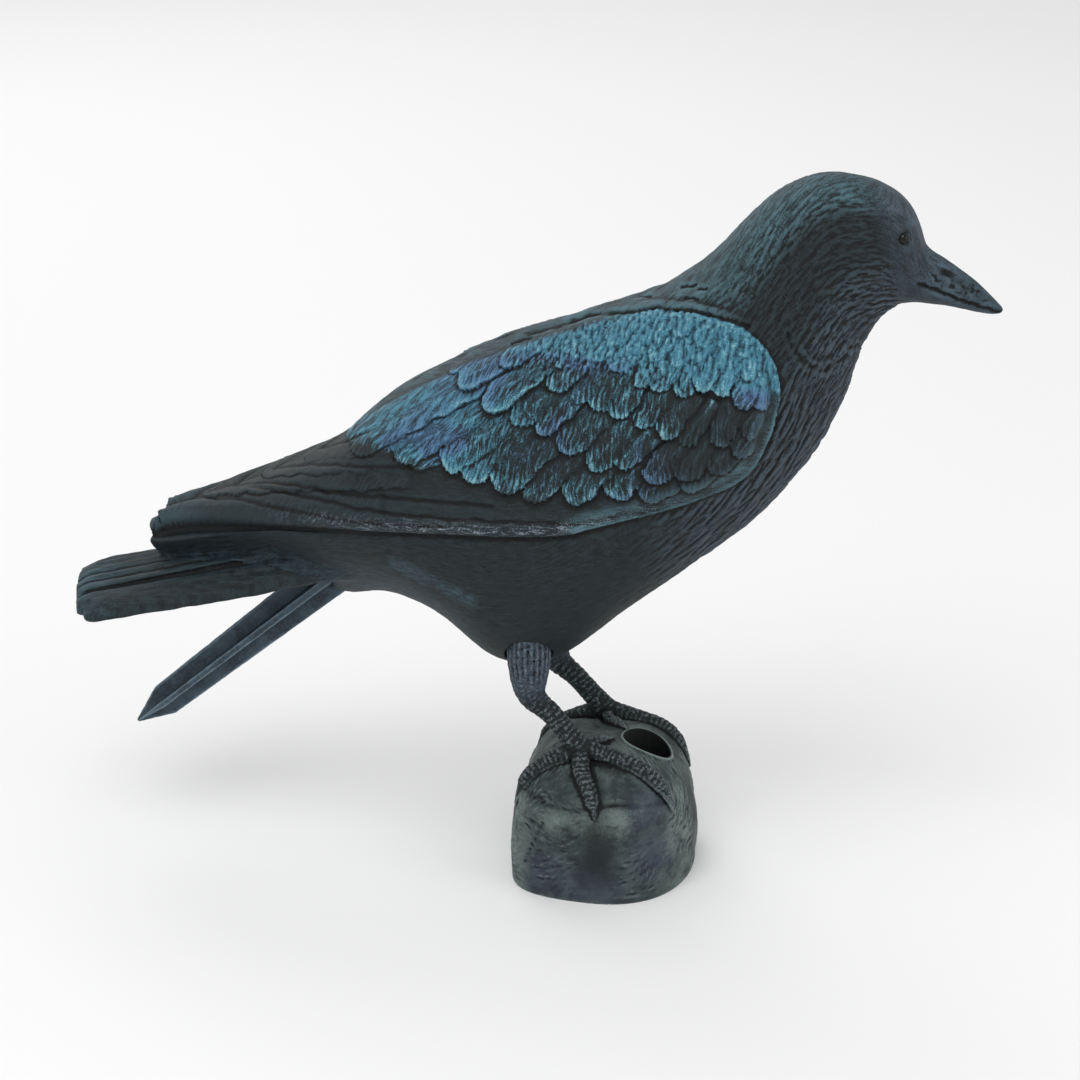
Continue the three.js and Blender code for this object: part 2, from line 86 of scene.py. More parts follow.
def flowing(knots, values):
    """A smooth curve through the knots, its slope at each taken from the two neighbours."""
    knots, values = np.asarray(knots, float), np.asarray(values, float)
    slope = np.empty_like(values)
    slope[1:-1] = (values[2:] - values[:-2]) / (knots[2:] - knots[:-2])
    slope[0] = (values[1] - values[0]) / (knots[1] - knots[0])
    slope[-1] = (values[-1] - values[-2]) / (knots[-1] - knots[-2])

    def at(x):
        x = np.clip(x, knots[0], knots[-1])
        i = np.clip(np.searchsorted(knots, x, side="right") - 1, 0, len(knots) - 2)
        step = knots[i + 1] - knots[i]
        u = (x - knots[i]) / step
        ease = u * u * (3 - 2 * u)
        bow = step * u * (1 - u) * ((1 - u) * slope[i] - u * slope[i + 1])
        return values[i] * (1 - ease) + values[i + 1] * ease + bow

    return at


def ramp(x, low, high):
    u = np.clip((x - low) / (high - low), 0, 1)
    return u * u * (3 - 2 * u)


def hump(distance, width):
    return np.exp(-((distance / width) ** 2))


def grain(points, seed=0):
    """Smooth noise from -1 to 1 with one lump per unit."""
    cell = np.floor(points).astype(np.int64)
    part = points - cell
    part = part * part * (3 - 2 * part)
    total = np.zeros(len(points))
    for corner in np.ndindex(2, 2, 2):
        c = cell + np.array(corner)
        h = c[:, 0] * 374761393 + c[:, 1] * 668265263 + c[:, 2] * 1440662683 + seed * 982451653
        h = (h ^ (h >> 13)) * 1274126177
        value = ((h ^ (h >> 16)) & 0xFFFF) / 32767.5 - 1
        total += value * np.prod(np.where(corner, part, 1 - part), axis=1)
    return total


def skinned(name, sides, rings, place):
    """A closed skin over rings: place(t, angle) gives its points for t from 0 to 1."""
    deselect()
    bpy.ops.mesh.primitive_uv_sphere_add(segments=sides, ring_count=rings, radius=1, calc_uvs=False)
    piece = bpy.context.object
    piece.name = name
    ball = points_of(piece) * MM
    ring = np.arccos(np.clip(ball[:, 2], -1, 1)) / math.pi * rings
    t = np.clip((ring - 1) / (rings - 2), 0, 1)
    moved = place(t, np.arctan2(ball[:, 1], ball[:, 0]))
    round_once = np.linspace(-math.pi, math.pi, 64, endpoint=False)
    moved[ring < 0.5] = place(np.zeros(64), round_once).mean(0)
    moved[ring > rings - 0.5] = place(np.ones(64), round_once).mean(0)
    move_points(piece, moved)
    bpy.ops.object.mode_set(mode="EDIT")
    bpy.ops.mesh.select_all(action="SELECT")
    bpy.ops.mesh.normals_make_consistent(inside=False)
    bpy.ops.object.mode_set(mode="OBJECT")
    return piece


def fused(pieces, name, voxel):
    """Joins pieces and melts them into one skin of even small faces."""
    pick(*pieces)
    bpy.ops.object.join()
    piece = bpy.context.object
    piece.name = name
    piece.data.name = name
    piece.data.remesh_voxel_size = voxel * MM
    bpy.ops.object.voxel_remesh()
    return piece


# Sections of the body from wing tip to beak: back x, back z, belly x, belly z, half width, height share
# where it is widest, and how round the upper and the lower half are (2 is round, 1 is flat-sided).
sections = np.array([
    (-196.5, 144.5, -193.5, 129, 11, 0.6, 2.2, 1.2),
    (-185, 148.3, -184, 124.5, 17, 0.68, 1.9, 1),
    (-161, 157.6, -161, 120.5, 24, 0.72, 1.8, 0.9),
    (-136, 170.2, -137, 116.9, 30.5, 0.66, 1.8, 0.95),
    (-112, 184.2, -113, 115.2, 36, 0.58, 1.85, 1.2),
    (-91, 205.8, -91, 118.6, 41, 0.5, 1.95, 1.6),
    (-66, 221.6, -69, 111.6, 43.5, 0.46, 2, 1.9),
    (-40, 234.8, -44, 93, 45.5, 0.48, 2, 2),
    (-13, 244.6, -20, 94.5, 46.5, 0.48, 2, 2),
    (12, 252.8, 11.9, 120, 46, 0.48, 2.05, 2),
    (30, 262.8, 38.9, 141.2, 44, 0.47, 2.1, 2),
    (45.4, 275.9, 66.2, 164.8, 40.5, 0.47, 2.1, 2),
    (57.8, 289.8, 86.4, 191.2, 33.5, 0.48, 2.1, 2),
    (70.8, 301.3, 98.3, 216.2, 27, 0.52, 2.15, 2),
    (86.5, 307.5, 104.5, 237, 22.5, 0.56, 2.2, 2),
    (102, 306.5, 111.4, 249.2, 20, 0.58, 2.25, 2),
    (114, 302, 118.4, 255.2, 17.5, 0.6, 2.2, 2),
    (121.5, 295.5, 123.5, 256.4, 14.6, 0.58, 2.1, 2),
    (125.4, 288, 127.5, 256.4, 12, 0.52, 2, 2),
    (128.5, 279.8, 131, 256.2, 9.8, 0.48, 1.9, 2),
    (136, 274.8, 138, 255.6, 8, 0.45, 1.8, 2),
    (147, 267.4, 147, 254, 5.6, 0.42, 1.7, 2),
    (155.5, 260, 155, 252.9, 3.4, 0.42, 1.8, 2),
    (160.3, 255.2, 159.5, 253, 1.2, 0.5, 2, 2),
])
back_steps = np.hypot(*np.diff(sections[:, 0:2], axis=0).T)
belly_steps = np.hypot(*np.diff(sections[:, 2:4], axis=0).T)
stations = np.concatenate([[0], np.cumsum((back_steps + belly_steps) / 2)])
body_length = stations[-1]
fine_stations = np.linspace(0, body_length, 3000)
rails = [flowing(stations, column)(fine_stations) for column in sections.T]


def section_at(s):
    return [np.interp(s, fine_stations, rail) for rail in rails]


def trunk_skin(t, angle):
    back_x, back_z, belly_x, belly_z, half, waist, gable, keel = section_at(t * body_length)
    sine, cosine = np.sin(angle), np.cos(angle)
    curve = 2 / np.where(sine > 0, gable, keel)
    share = waist + np.sign(sine) * np.abs(sine) ** curve * np.where(sine > 0, 1 - waist, waist)
    return np.stack([
        belly_x + (back_x - belly_x) * share,
        half * np.sign(cosine) * np.abs(cosine) ** curve,
        belly_z + (back_z - belly_z) * share,
    ], 1)


def on_trunk(points):
    """Where points lie on the trunk: station, angle round it, 1 on its skin and more outside, and the
    distance from the widest line, above 0 on the upper half."""
    x, y, z = points.T
    low, high = np.zeros(len(x)), np.full(len(x), body_length)
    for _ in range(22):
        s = (low + high) / 2
        back_x, back_z, belly_x, belly_z = [np.interp(s, fine_stations, rail) for rail in rails[:4]]
        ahead = (back_x - belly_x) * (z - belly_z) - (back_z - belly_z) * (x - belly_x) < 0
        low, high = np.where(ahead, s, low), np.where(ahead, high, s)
    back_x, back_z, belly_x, belly_z, half, waist, gable, keel = section_at(s)
    span_x, span_z = back_x - belly_x, back_z - belly_z
    share = ((x - belly_x) * span_x + (z - belly_z) * span_z) / (span_x**2 + span_z**2)
    above = share > waist
    curve = np.where(above, gable, keel) / 2
    rise = np.abs(share - waist) / np.where(above, 1 - waist, waist)
    up = np.where(above, 1, -1) * rise**curve
    out = np.sign(y) * (np.abs(y) / half) ** curve
    over = (share - waist) * np.hypot(span_x, span_z)
    from_widest = np.where(above, 1, -1) * np.hypot(over, np.maximum(half - np.abs(y), 0))
    return s, np.arctan2(up, np.abs(out)), np.hypot(up, out), from_widest


trunk = skinned("trunk", 200, 330, trunk_skin)

# Each leg plugs into a round blind socket in the belly, with a thin dark gap round the thigh, and the
# stake into a cross-shaped one under the tail.
leg_spread, thigh_forward, left_leg_ahead, socket_radius = 22.0, -28.8, 4.0, 10.2
stake_tip, stake_lean, stake_length = np.array([-207.0, 0.0, 49.5]), math.radians(50), 117.0
stake_fin, stake_fin_at_point, stake_thickness, stake_point = 9.2, 7.2, 3.4, 17.0
stake_top = stake_tip + stake_length * np.array([math.sin(stake_lean), 0, math.cos(stake_lean)])


def cross_bar(name, fin, thickness, length):
    """A bar with a cross section, hanging down from the origin; its four fins are drawn out of a square
    core."""
    deselect()
    bpy.ops.mesh.primitive_cube_add(size=1)
    bar = bpy.context.object
    bar.name = name
    bar.dimensions = (thickness * MM, thickness * MM, length * MM)
    bar.location = (0, 0, -length / 2 * MM)
    bpy.ops.object.transform_apply(location=True, rotation=True, scale=True)
    for direction in ((1, 0), (-1, 0), (0, 1), (0, -1)):
        out = np.array([*direction, 0.0])
        bpy.ops.object.mode_set(mode="EDIT")
        bpy.ops.mesh.select_mode(type="FACE")
        bpy.ops.mesh.select_all(action="DESELECT")
        bpy.ops.object.mode_set(mode="OBJECT")
        for face in bar.data.polygons:
            outward, beside = np.array(face.normal) @ out, np.cross(np.array(face.center), out)[2]
            face.select = bool(outward > 0.9 and abs(beside) < 0.1 * MM)
        bpy.ops.object.mode_set(mode="EDIT")
        bpy.ops.mesh.extrude_region_move(
            TRANSFORM_OT_translate={"value": tuple(out * (fin - thickness / 2) * MM)}
        )
        bpy.ops.object.mode_set(mode="OBJECT")
    return bar


def plugged_in(bar, pull=0.0):
    bar.rotation_euler = (0, stake_lean, 0)
    axis = np.array([math.sin(stake_lean), 0, math.cos(stake_lean)])
    bar.location = (stake_top + axis * pull) * MM
    pick(bar)
    bpy.ops.object.transform_apply(location=True, rotation=True, scale=True)


cutters = []
for side, ahead in ((-1, 0.0), (1, left_leg_ahead * 0.7)):
    deselect()
    bpy.ops.mesh.primitive_cylinder_add(
        vertices=64,
        radius=socket_radius * MM,
        depth=27 * MM,
        location=((thigh_forward + ahead) * MM, side * leg_spread * MM, 98 * MM),
    )
    cutters.append(bpy.context.object)
slot_cutter = cross_bar("stake slot", stake_fin + 0.7, stake_thickness + 1.4, 60)
plugged_in(slot_cutter, 0.8)
cutters.append(slot_cutter)

# Tail: nine long feathers overlapping in a low arch, with round ends stepped back to each side.
tail_end, tail_root, tail_half_width, blade_half = -230.5, -102.0, 34.0, 8.4
tail_slope, tail_underside, tail_datum, tail_thickness = 0.19, 123.4, -128.0, 7
tail_set_back, crown_at_root, crown_at_end = 25, 18, 8
crown_share = (1, 0.93, 0.78, 0.5, 0.3)  # from the middle feather outwards


def tail_feather(place):
    share = place / 4
    deselect()
    bpy.ops.mesh.primitive_cube_add(size=2)
    blade = bpy.context.object
    blade.name = "tail feather"
    bpy.ops.object.mode_set(mode="EDIT")
    bpy.ops.mesh.subdivide(number_cuts=31)
    bpy.ops.object.mode_set(mode="OBJECT")
    cube = points_of(blade) * MM
    u, v, up = (cube[:, 0] + 1) / 2, cube[:, 1], (cube[:, 2] + 1) / 2
    u = 1 - (1 - u) ** 1.6
    centre = share * (tail_half_width - blade_half)
    end = tail_end + tail_set_back * (1 - math.sqrt(1 - (share * 0.82) ** 2)) + 0.9 * math.sin(5.0 * place)
    tip = np.clip((u - 0.93) / 0.07, 0, 1)
    narrow = np.sqrt(np.clip(1 - tip**2.4, 0, 1)) * 0.97 + 0.03
    x = tail_root + (end - tail_root) * u
    y = centre * (0.5 + 0.5 * u) + v * blade_half * narrow
    crown = (crown_at_root + (crown_at_end - crown_at_root) * u) * crown_share[abs(place)]
    outwards = v * np.sign(place)
    tilt = -0.9 * np.abs(v) if place == 0 else -1.3 * outwards
    if abs(place) == 4:
        tilt = -3.5 * np.maximum(outwards, 0) ** 2
    shaft = 0.7 * hump(v, 0.12) * (1 - tip)
    under = tail_underside + tail_slope * (x - tail_datum)
    top = under + tail_thickness + crown + tilt + shaft - 2.2 * tip**2 + 0.5 * (1 - v * v) - 0.6 * v**8
    below = under + crown * 0.35 + 1.2 * tip**2 + abs(share) * (0.3 * tilt + 1.4 * v**6)
    move_points(blade, np.stack([x, y, below + (top - below) * up], 1))
    return blade


blades = [tail_feather(place) for place in range(-4, 5)]
for cutter in cutters:
    for piece in [trunk] + (blades[2:7] if cutter is slot_cutter else []):
        apply_modifier(piece, "BOOLEAN", object=cutter, operation="DIFFERENCE", solver="FAST")
    bpy.data.objects.remove(cutter)
body = fused([trunk] + blades, "crow_body", voxel=0.7)

# The wings are laid out on a drawing plane that leans back 20 degrees: along is the distance forward,
# and rise is the distance up that plane.
wing_lean = math.radians(20)
wing_thickness, wing_edge_round, shoulder_back = 4.0, 6.0, -20.0
low_edge = flowing(*np.array([
    (-192, 131), (-179, 133.8), (-158, 135.5), (-132, 136), (-60, 136.5), (-15, 138.5), (20, 147.5),
    (46, 157), (63, 167.5), (72, 184), (75.5, 200),
]).T)
high_edge = flowing(*np.array([
    (-192, 136), (-161, 151.5), (-112, 173), (-66, 204), (-13, 226), (2, 229.5), (24, 231.5),
    (52, 227.5), (65, 221), (73, 210.5), (75.5, 200),
]).T)


def wing_lift(along, rise, from_front):
    """How far the wing stands proud: a round edge below, a soft swell in front, none at the back."""
    low, high = low_edge(along), high_edge(along)

    def quarter(d):
        return np.sqrt(1 - (1 - np.clip(d / wing_edge_round, 0, 1)) ** 2)

    share = np.clip((rise - low) / np.maximum(high - low, 0.1), 0, 1)
    kept = 0.25 * ramp(along, shoulder_back, -shoulder_back)
    fade = 1 + (kept - 1) * ramp(share, 0.45, 1)
    inside = (along > -192) & (along < 75.5) & (rise > low)
    front = ramp(along, -25, 15)
    edge = quarter(rise - low) * (1 - front) + ramp(from_front, 0, 9) * front
    top = quarter(high - rise + wing_edge_round * (1 - kept))
    return np.where(inside, wing_thickness * edge * fade * top, 0)


# Rows of wing feathers, from the flight feathers up to the small ones on the shoulder: length, width
# and shaft angle at the rear and front end, how far the tips stand up, and where each tip lies.
wing_rows = [
    ((112, 100), (13, 13), (-5, -10), 1.7, [(-191, 136), (-176, 147.5), (-148, 157.5), (-128, 166)]),
    ((86, 34), (13, 12), (-30, -46), 1.3, [
        (-108, 174), (-100, 168), (-80, 166), (-60, 164), (-50, 159.5), (-38, 157.5), (-24, 154.5),
        (-8, 154), (8, 157), (22, 158), (38, 162),
    ]),
    ((48, 26), (12.5, 10.5), (-34, -60), 1.9, [
        (-63, 203), (-57, 197), (-44, 188), (-31, 183.5), (-20.5, 179.5), (-10, 172), (2, 167), (12, 169.5),
        (24, 164), (36, 166), (48, 170), (58, 177),
    ]),
    ((32, 20), (10.5, 9), (-38, -68), 1.6, [
        (-40, 206), (-27, 199.5), (-17, 196.5), (-6, 193), (2, 189), (10, 187.5), (20, 184.5), (29, 182),
        (38, 179), (50, 179.5), (61, 184),
    ]),
    ((22, 16), (9.5, 8.5), (-40, -72), 1.4, [
        (-16, 207), (-3, 209), (8, 205), (18.5, 200.5), (27, 198), (35.5, 197), (43, 200), (51, 198),
        (58, 194), (66, 195),
    ]),
    ((15, 12), (8, 7.5), (-44, -74), 1.1, [
        (-14, 212), (4, 215), (14, 213), (24, 210), (33, 208), (42, 210), (51, 209), (60, 205), (67, 203),
    ]),
    ((12, 9), (7.5, 6.5), (-40, -74), 0.8, [
        (-22, 216), (-6, 222), (6, 220), (15, 222), (24, 218), (33, 220), (42, 217), (51, 217), (60, 213),
    ]),
]
feathers = []
shaker = np.random.default_rng(11)
for row, (lengths, widths, headings, stand, tips) in enumerate(wing_rows):
    for k, (tip_x, tip_q) in enumerate(tips):
        at = k / (len(tips) - 1)
        shake = shaker.uniform(-1, 1, 4) * (1 if row > 0 else 0.2)
        length, width, heading = [a + (b - a) * at for a, b in (lengths, widths, headings)]
        feathers.append((
            tip_x + 0.6 * shake[0],
            tip_q + 0.6 * shake[1],
            length,
            width * (1 + 0.13 * shake[2]),
            math.radians(heading + 7 * shake[3]),
            stand * (1 + 0.3 * shake[0]),
        ))


# Long straight grooves part the flight feathers, here as points along the drawing plane.
flight_grooves = [np.array(line, float) for line in (
    [(-173, 148.3), (-137.8, 150), (-89.5, 150.6), (-39, 150)],
    [(-156, 148.3), (-109.8, 146.7), (-73, 143.7), (-39, 143.8), (0, 145)],
    [(-140.8, 157.8), (-89.5, 161.5), (-73, 162.7)],
    [(-130.2, 166.3), (-106.9, 170.4), (-94, 175.6)],
    [(-188, 140.5), (-150, 142.5), (-104, 140.5), (-60, 140)],
)]


def far_from_line(x, z, line):
    best = np.full(len(x), 1e9)
    for a, b in zip(line[:-1], line[1:]):
        d = b - a
        u = np.clip(((x - a[0]) * d[0] + (z - a[1]) * d[1]) / (d @ d), 0, 1)
        best = np.minimum(best, np.hypot(x - a[0] - u * d[0], z - a[1] - u * d[1]))
    return best


def wing_feathers(along, rise):
    """Height of the wing's feathers, how near each point is to a tip, and its barb coordinates."""
    height = np.zeros(len(along))
    tipness = np.zeros(len(along))
    barb = np.stack([rise, along, np.zeros(len(along))], 1)
    for number, (tip_x, tip_q, length, width, heading, stand) in enumerate(feathers):
        middle = tip_x + length * 0.4 * math.cos(heading)
        barb_heading = np.interp(middle, [-110, -60, 0, 50, 75], [52, 60, 84, 80, 62])
        slant = math.radians(barb_heading + 9 * math.sin(9.1 * number))
        shaft = (-math.cos(heading), math.sin(heading))
        dx, dq = along - tip_x, rise - tip_q
        behind = -(dx * shaft[0] + dq * shaft[1])
        off = dx * -shaft[1] + dq * shaft[0]
        near = np.nonzero((behind > -3) & (behind < length + 1) & (np.abs(off) < width * 0.5 + 3))[0]
        if not len(near):
            continue
        b, o = behind[near], off[near]
        phase = dx[near] * math.sin(slant) - dq[near] * math.cos(slant)
        run = dx[near] * math.cos(slant) + dq[near] * math.sin(slant)
        phase += 0.25 * np.sin(run / 2.3 + number)
        barbs = (0.5 + 0.5 * np.cos(2 * math.pi * phase / 2.1)) ** 1.5 - 0.4
        blunt = width * 0.7
        half = width / 2 * np.sqrt(np.clip(1 - np.clip(1 - b / blunt, 0, 1) ** 2.1, 1e-4, 1))
        half *= 1 + 0.06 * np.sin(b / 1.9 + 2.0 * number)
        edge = np.where(b > 0, half - np.abs(o), -np.hypot(b, np.maximum(np.abs(o) - 1, 0)))
        edge += 0.7 * barbs * ramp(b, 14, 4)
        u = np.clip(1 - b / length, 0, 1)
        top = 0.25 + stand * u + 0.7 * (o / width + 0.5) - 0.55 * (o / (width / 2)) ** 2
        top += 0.22 * hump(o, 0.5) * ramp(b, 0, 3)
        barbed = 0.42 if stand < 1.65 or width < 12.2 else 0.28
        top += barbed * barbs * ramp(np.abs(o), 0.2, 1.0) * ramp(b, 16, 2)
        over = ramp(edge, -0.35, 0.35) * ramp(u, 0, 0.08)
        above = ramp(top - height[near], -0.2, 0.3)
        gap = hump(np.minimum(edge, 0), 0.9) * (edge < 0) * ramp(u, 0.15, 0.5)
        height[near] -= 0.45 * gap * above
        keep = over * above
        height[near] += (top - height[near]) * keep
        wins = keep > 0.5
        chosen = near[wins]
        rim = ramp(np.minimum(b[wins], edge[wins] + 0.12 * b[wins]), 2.6, 0.8)
        rim *= 0.45 + 0.55 * ramp(barbs[wins], -0.35, 0.3)
        tipness[chosen] = np.maximum(0.6 * ramp(b[wins], 13, 1), rim)
        barb[chosen] = np.stack([phase[wins], run[wins], np.full(wins.sum(), number * 7.3)], 1)
    return height, tipness, barb


# Other marks in the mould: the wing's rolled front edge, the ragged line over the shoulder with short
# nicks above it, the curl where the neck feathers end, the mouth, the eye and the nostril.
wing_front = np.array([
    (0, 142), (20, 147.5), (34, 152), (46, 157), (55, 161.5), (63, 167.5), (69, 177), (72.8, 187),
    (74.5, 197), (74, 207), (70, 215), (64, 221.5),
])
shoulder_line = np.array([
    (-32, 220.5), (-20, 224.5), (-7, 228.9), (6.8, 229.9), (16, 230.4), (23.7, 232.4), (27, 231.1),
    (34, 231.3), (40.7, 230.7), (50.8, 228.3), (61, 226),
])
nicks = [np.array(line, float) for line in (
    [(32, 241.3), (38, 242.2)], [(39.8, 240.3), (43.2, 240.4)], [(34, 237), (40, 236)],
    [(12, 238), (18.6, 237.6)], [(11, 241), (15.4, 240.4)], [(-38, 216), (-30, 219)],
)]
curls = [np.array(line, float) for line in (
    [(77, 224), (79, 219), (82.5, 214.5), (87, 211.4), (92, 210.8), (96, 213.2), (99.5, 217.5)],
    [(100.5, 221), (105, 222.4), (109.5, 225.5)],
)]
mouth_line = np.array([(127, 267), (134, 263.8), (142, 260), (151, 256.4), (158, 254.4)])
pit_line = np.array([(130, 269), (138, 266.5), (146, 263), (151, 260)])
eye_at = np.array([120.0, 285.8])
nostril_at = np.array([137.6, 270.6])


def strokes(u, v, heading, cell, length, width, seed):
    """Short marks scattered over the (u, v) surface, one to a cell, each turned to the heading at the
    point: 1 along the middle of a mark, 0 away from it."""
    marks = np.zeros(len(u))
    cell_u, cell_v = np.floor(u / cell).astype(np.int64), np.floor(v / cell).astype(np.int64)
    reach = math.ceil(length / 2 / cell)
    for step_u, step_v in np.ndindex(2 * reach + 1, 2 * reach + 1):
        a, b = cell_u + step_u - reach, cell_v + step_v - reach
        h = a * 374761393 + b * 668265263 + seed * 982451653
        h = (h ^ (h >> 13)) * 1274126177
        chance = [((h >> shift) & 0x3FF) / 1023 for shift in (6, 17, 27)]
        off_u, off_v = u - (a + chance[0]) * cell, v - (b + chance[1]) * cell
        turned = heading + 0.5 * (chance[2] - 0.5)
        run = off_u * np.cos(turned) + off_v * np.sin(turned)
        across = off_v * np.cos(turned) - off_u * np.sin(turned)
        span = length / 2 * (0.55 + 0.45 * chance[2])
        mark = hump(across, width) * ramp(np.abs(run), span, 0.5 * span)
        marks = np.maximum(marks, mark)
    return marks


def carve(points):
    """The moulded relief, in mm along the normal, and the paint that goes with it."""
    x, y, z = points.T
    s, angle, skin, from_widest = on_trunk(points)
    trunk_side = skin < 1.12
    along, rise = x, z * math.cos(wing_lean) - np.abs(y) * math.sin(wing_lean)
    low, high = low_edge(along), high_edge(along)
    in_wing = trunk_side * ramp(rise, low - 0.6, low + 0.6) * ramp(along, 76, 74.5) * (along > -193)
    shoulder = ramp(along, -30, 0)
    in_wing = in_wing * (ramp(high - rise, -1.0, 0.4) * shoulder + 1 - shoulder)
    in_wing = in_wing * (1 - ramp(angle, 1.18, 1.36) * ramp(along, -104, -84))
    strays = [grain(points / size, seed) for size, seed in ((5.0, 1), (5.0, 2), (1.9, 6), (1.9, 7))]
    plumes, tipness, barb = wing_feathers(
        along + 0.8 * strays[0] + 0.35 * strays[2], rise + 0.8 * strays[1] + 0.35 * strays[3])
    from_front = far_from_line(along, rise, wing_front)
    settled = ramp(from_front + 1.6 * strays[0], 3, 9)
    tipness = tipness * settled
    for line in flight_grooves:
        away = far_from_line(along, rise + 0.5 * strays[0], line)
        plumes -= 0.85 * hump(away, 0.8)
    # small ragged tufts over the top of the shoulder
    tufted = ramp(rise, 196, 210) * ramp(along, -45, -15) * in_wing
    tufts = 0.3 * strays[2] + 0.75 * strokes(along, rise, np.full(len(x), 1.45), 2.2, 6.0, 0.75, 15) - 0.3
    relief = wing_lift(along, rise, from_front) * trunk_side
    relief += in_wing * (plumes * settled * (1 - 0.55 * tufted))
    relief += tufted * tufts

    # A groove runs all round the wing, and a deeper one over the shoulder.
    under_wing = ramp(along, -60, -120)
    below = (low - rise - 2 * under_wing) / (1.6 + under_wing)
    relief -= (0.8 + 1.4 * under_wing) * hump(below, 1) * (1 - in_wing) * (along < 20) * trunk_side
    relief -= 0.5 * hump(from_front, 2.5) * (1 - in_wing) * trunk_side
    ragged = 0.45 + 0.55 * ramp(grain(points / 3.2, 16), -0.5, 0.2)
    shoulder_groove = hump(far_from_line(along + 0.9 * strays[2], rise, shoulder_line), 0.95)
    relief -= 1.5 * ragged * shoulder_groove * trunk_side
    for line in nicks:
        relief -= 0.9 * hump(far_from_line(along, rise + 0.5 * strays[2], line), 0.55) * trunk_side

    # Outside the wing the plumage is combed back from the face, in short broken strokes that are finest
    # on the head. It is fainter on the back and the belly.
    plain = (1 - in_wing) * trunk_side
    bare = ramp(along + 0.35 * (rise - 268), 106, 113)
    head = ramp(s, body_length - 165, body_length - 125)
    flank = np.sign(y) * 5
    throat = ramp(angle, 0.1, -0.5) * (1 - ramp(s, body_length - 125, body_length - 95))
    slope = (0.3 * throat - 0.27 * (1 - throat)) * np.cos(angle) * ramp(x, -20, 40)
    strand = from_widest - np.tan(slope) * (s - body_length + 110)
    combed = strokes(s, from_widest + 40 * flank, slope, 2.9, 10.0, 0.62, 4)
    hairs = grain(np.stack([s / 5, strand / 1.7, flank + 20], 1), 5)
    lower = ramp(rise, 150, 118) * ramp(x, 60, 0)
    amount = (0.6 + 0.4 * head) * (1 - 0.75 * lower) * (1 - bare) * (1 - 0.6 * ramp(angle, 0.5, 1.0))
    relief += plain * amount * (0.25 * hairs - 0.55 * combed)
    breast = (1 - in_wing) * ramp(angle, 0.15, -0.5) * ramp(x, 5, 50) * trunk_side
    gashes = strokes(s, from_widest + 40 * flank, slope + 0.1, 6.5, 18.0, 1.0, 14)
    relief -= 0.7 * gashes * breast * (1 - ramp(s, body_length - 120, body_length - 100))
    scales = grain(np.stack([s / 7, strand / 5, flank + 40], 1), 17) * ramp(angle, 0.4, 0.9)
    relief += 0.4 * plain * (1 - head) * scales
    for line in curls:
        away = far_from_line(along + 0.5 * strays[0], rise + 0.5 * strays[1], line)
        ends = 0.35 * hump(away - 2.0, 1.1) - 0.6 * hump(away, 0.9)
        relief += ends * plain * ramp(strays[3], -0.7, 0.3)

    # Beak: smooth ridge and lower half, pitted sides, the ragged line of the mouth, and a nostril pit
    # with a bump in front of it.
    beak = ramp(x, 128, 133) * trunk_side
    mouth = far_from_line(x, z + 0.6 * strays[2], mouth_line)
    relief -= 1.15 * hump(mouth, 0.9) * (np.abs(y) > 0.8) * (0.6 + 0.4 * ramp(strays[3], -0.6, 0))
    pitted = hump(far_from_line(x, z, pit_line), 2.2) * (np.abs(y) > 2)
    relief -= 0.65 * beak * pitted * ramp(grain(points / 1.2, 8), -0.2, 0.6)
    nostril = np.hypot((x - nostril_at[0]) / 2.7, (z - nostril_at[1] + 0.45 * (x - nostril_at[0])) / 1.3)
    relief -= 1.6 * hump(nostril, 1) * (np.abs(y) > 1.5)

    # The shallow hollow that the eye sits in.
    eye = np.hypot(x - eye_at[0], z - eye_at[1]) + 99 * (np.abs(y) < 8)
    relief -= 0.8 * hump(eye, 2.9)

    # Tail: a deep thin groove beside each feather that overlaps the next, and fine lengthwise lines.
    on_tail = 1.0 * ~trunk_side
    tail_share = np.clip((x - tail_root) / (tail_end - tail_root), 0, 1)
    for place in range(3):
        edge_at = place / 4 * (tail_half_width - blade_half) * (0.5 + 0.5 * tail_share) + blade_half
        on_top = z > 125 + tail_slope * (x - tail_datum)
        relief -= 1.2 * hump(np.abs(y) - edge_at - 0.5, 0.8) * on_tail * on_top
    relief += 0.25 * on_tail * grain(np.stack([x / 12, y / 1.6, z / 2.2], 1), 12)
    barb = np.where(on_tail[:, None] > 0, np.stack([y, x, z / 30], 1), barb)
    barb = np.where((plain > 0.5)[:, None], np.stack([strand, s, flank], 1), barb)

    # Mould grain all over, and no relief inside the sockets.
    relief += 0.10 * grain(points / 3.1, 20)
    for side, ahead in ((-1, 0.0), (1, left_leg_ahead * 0.7)):
        away = np.hypot(x - thigh_forward - ahead, y - side * leg_spread)
        relief *= 1 - ramp(away, socket_radius + 2.5, socket_radius + 0.5) * (z < 116)

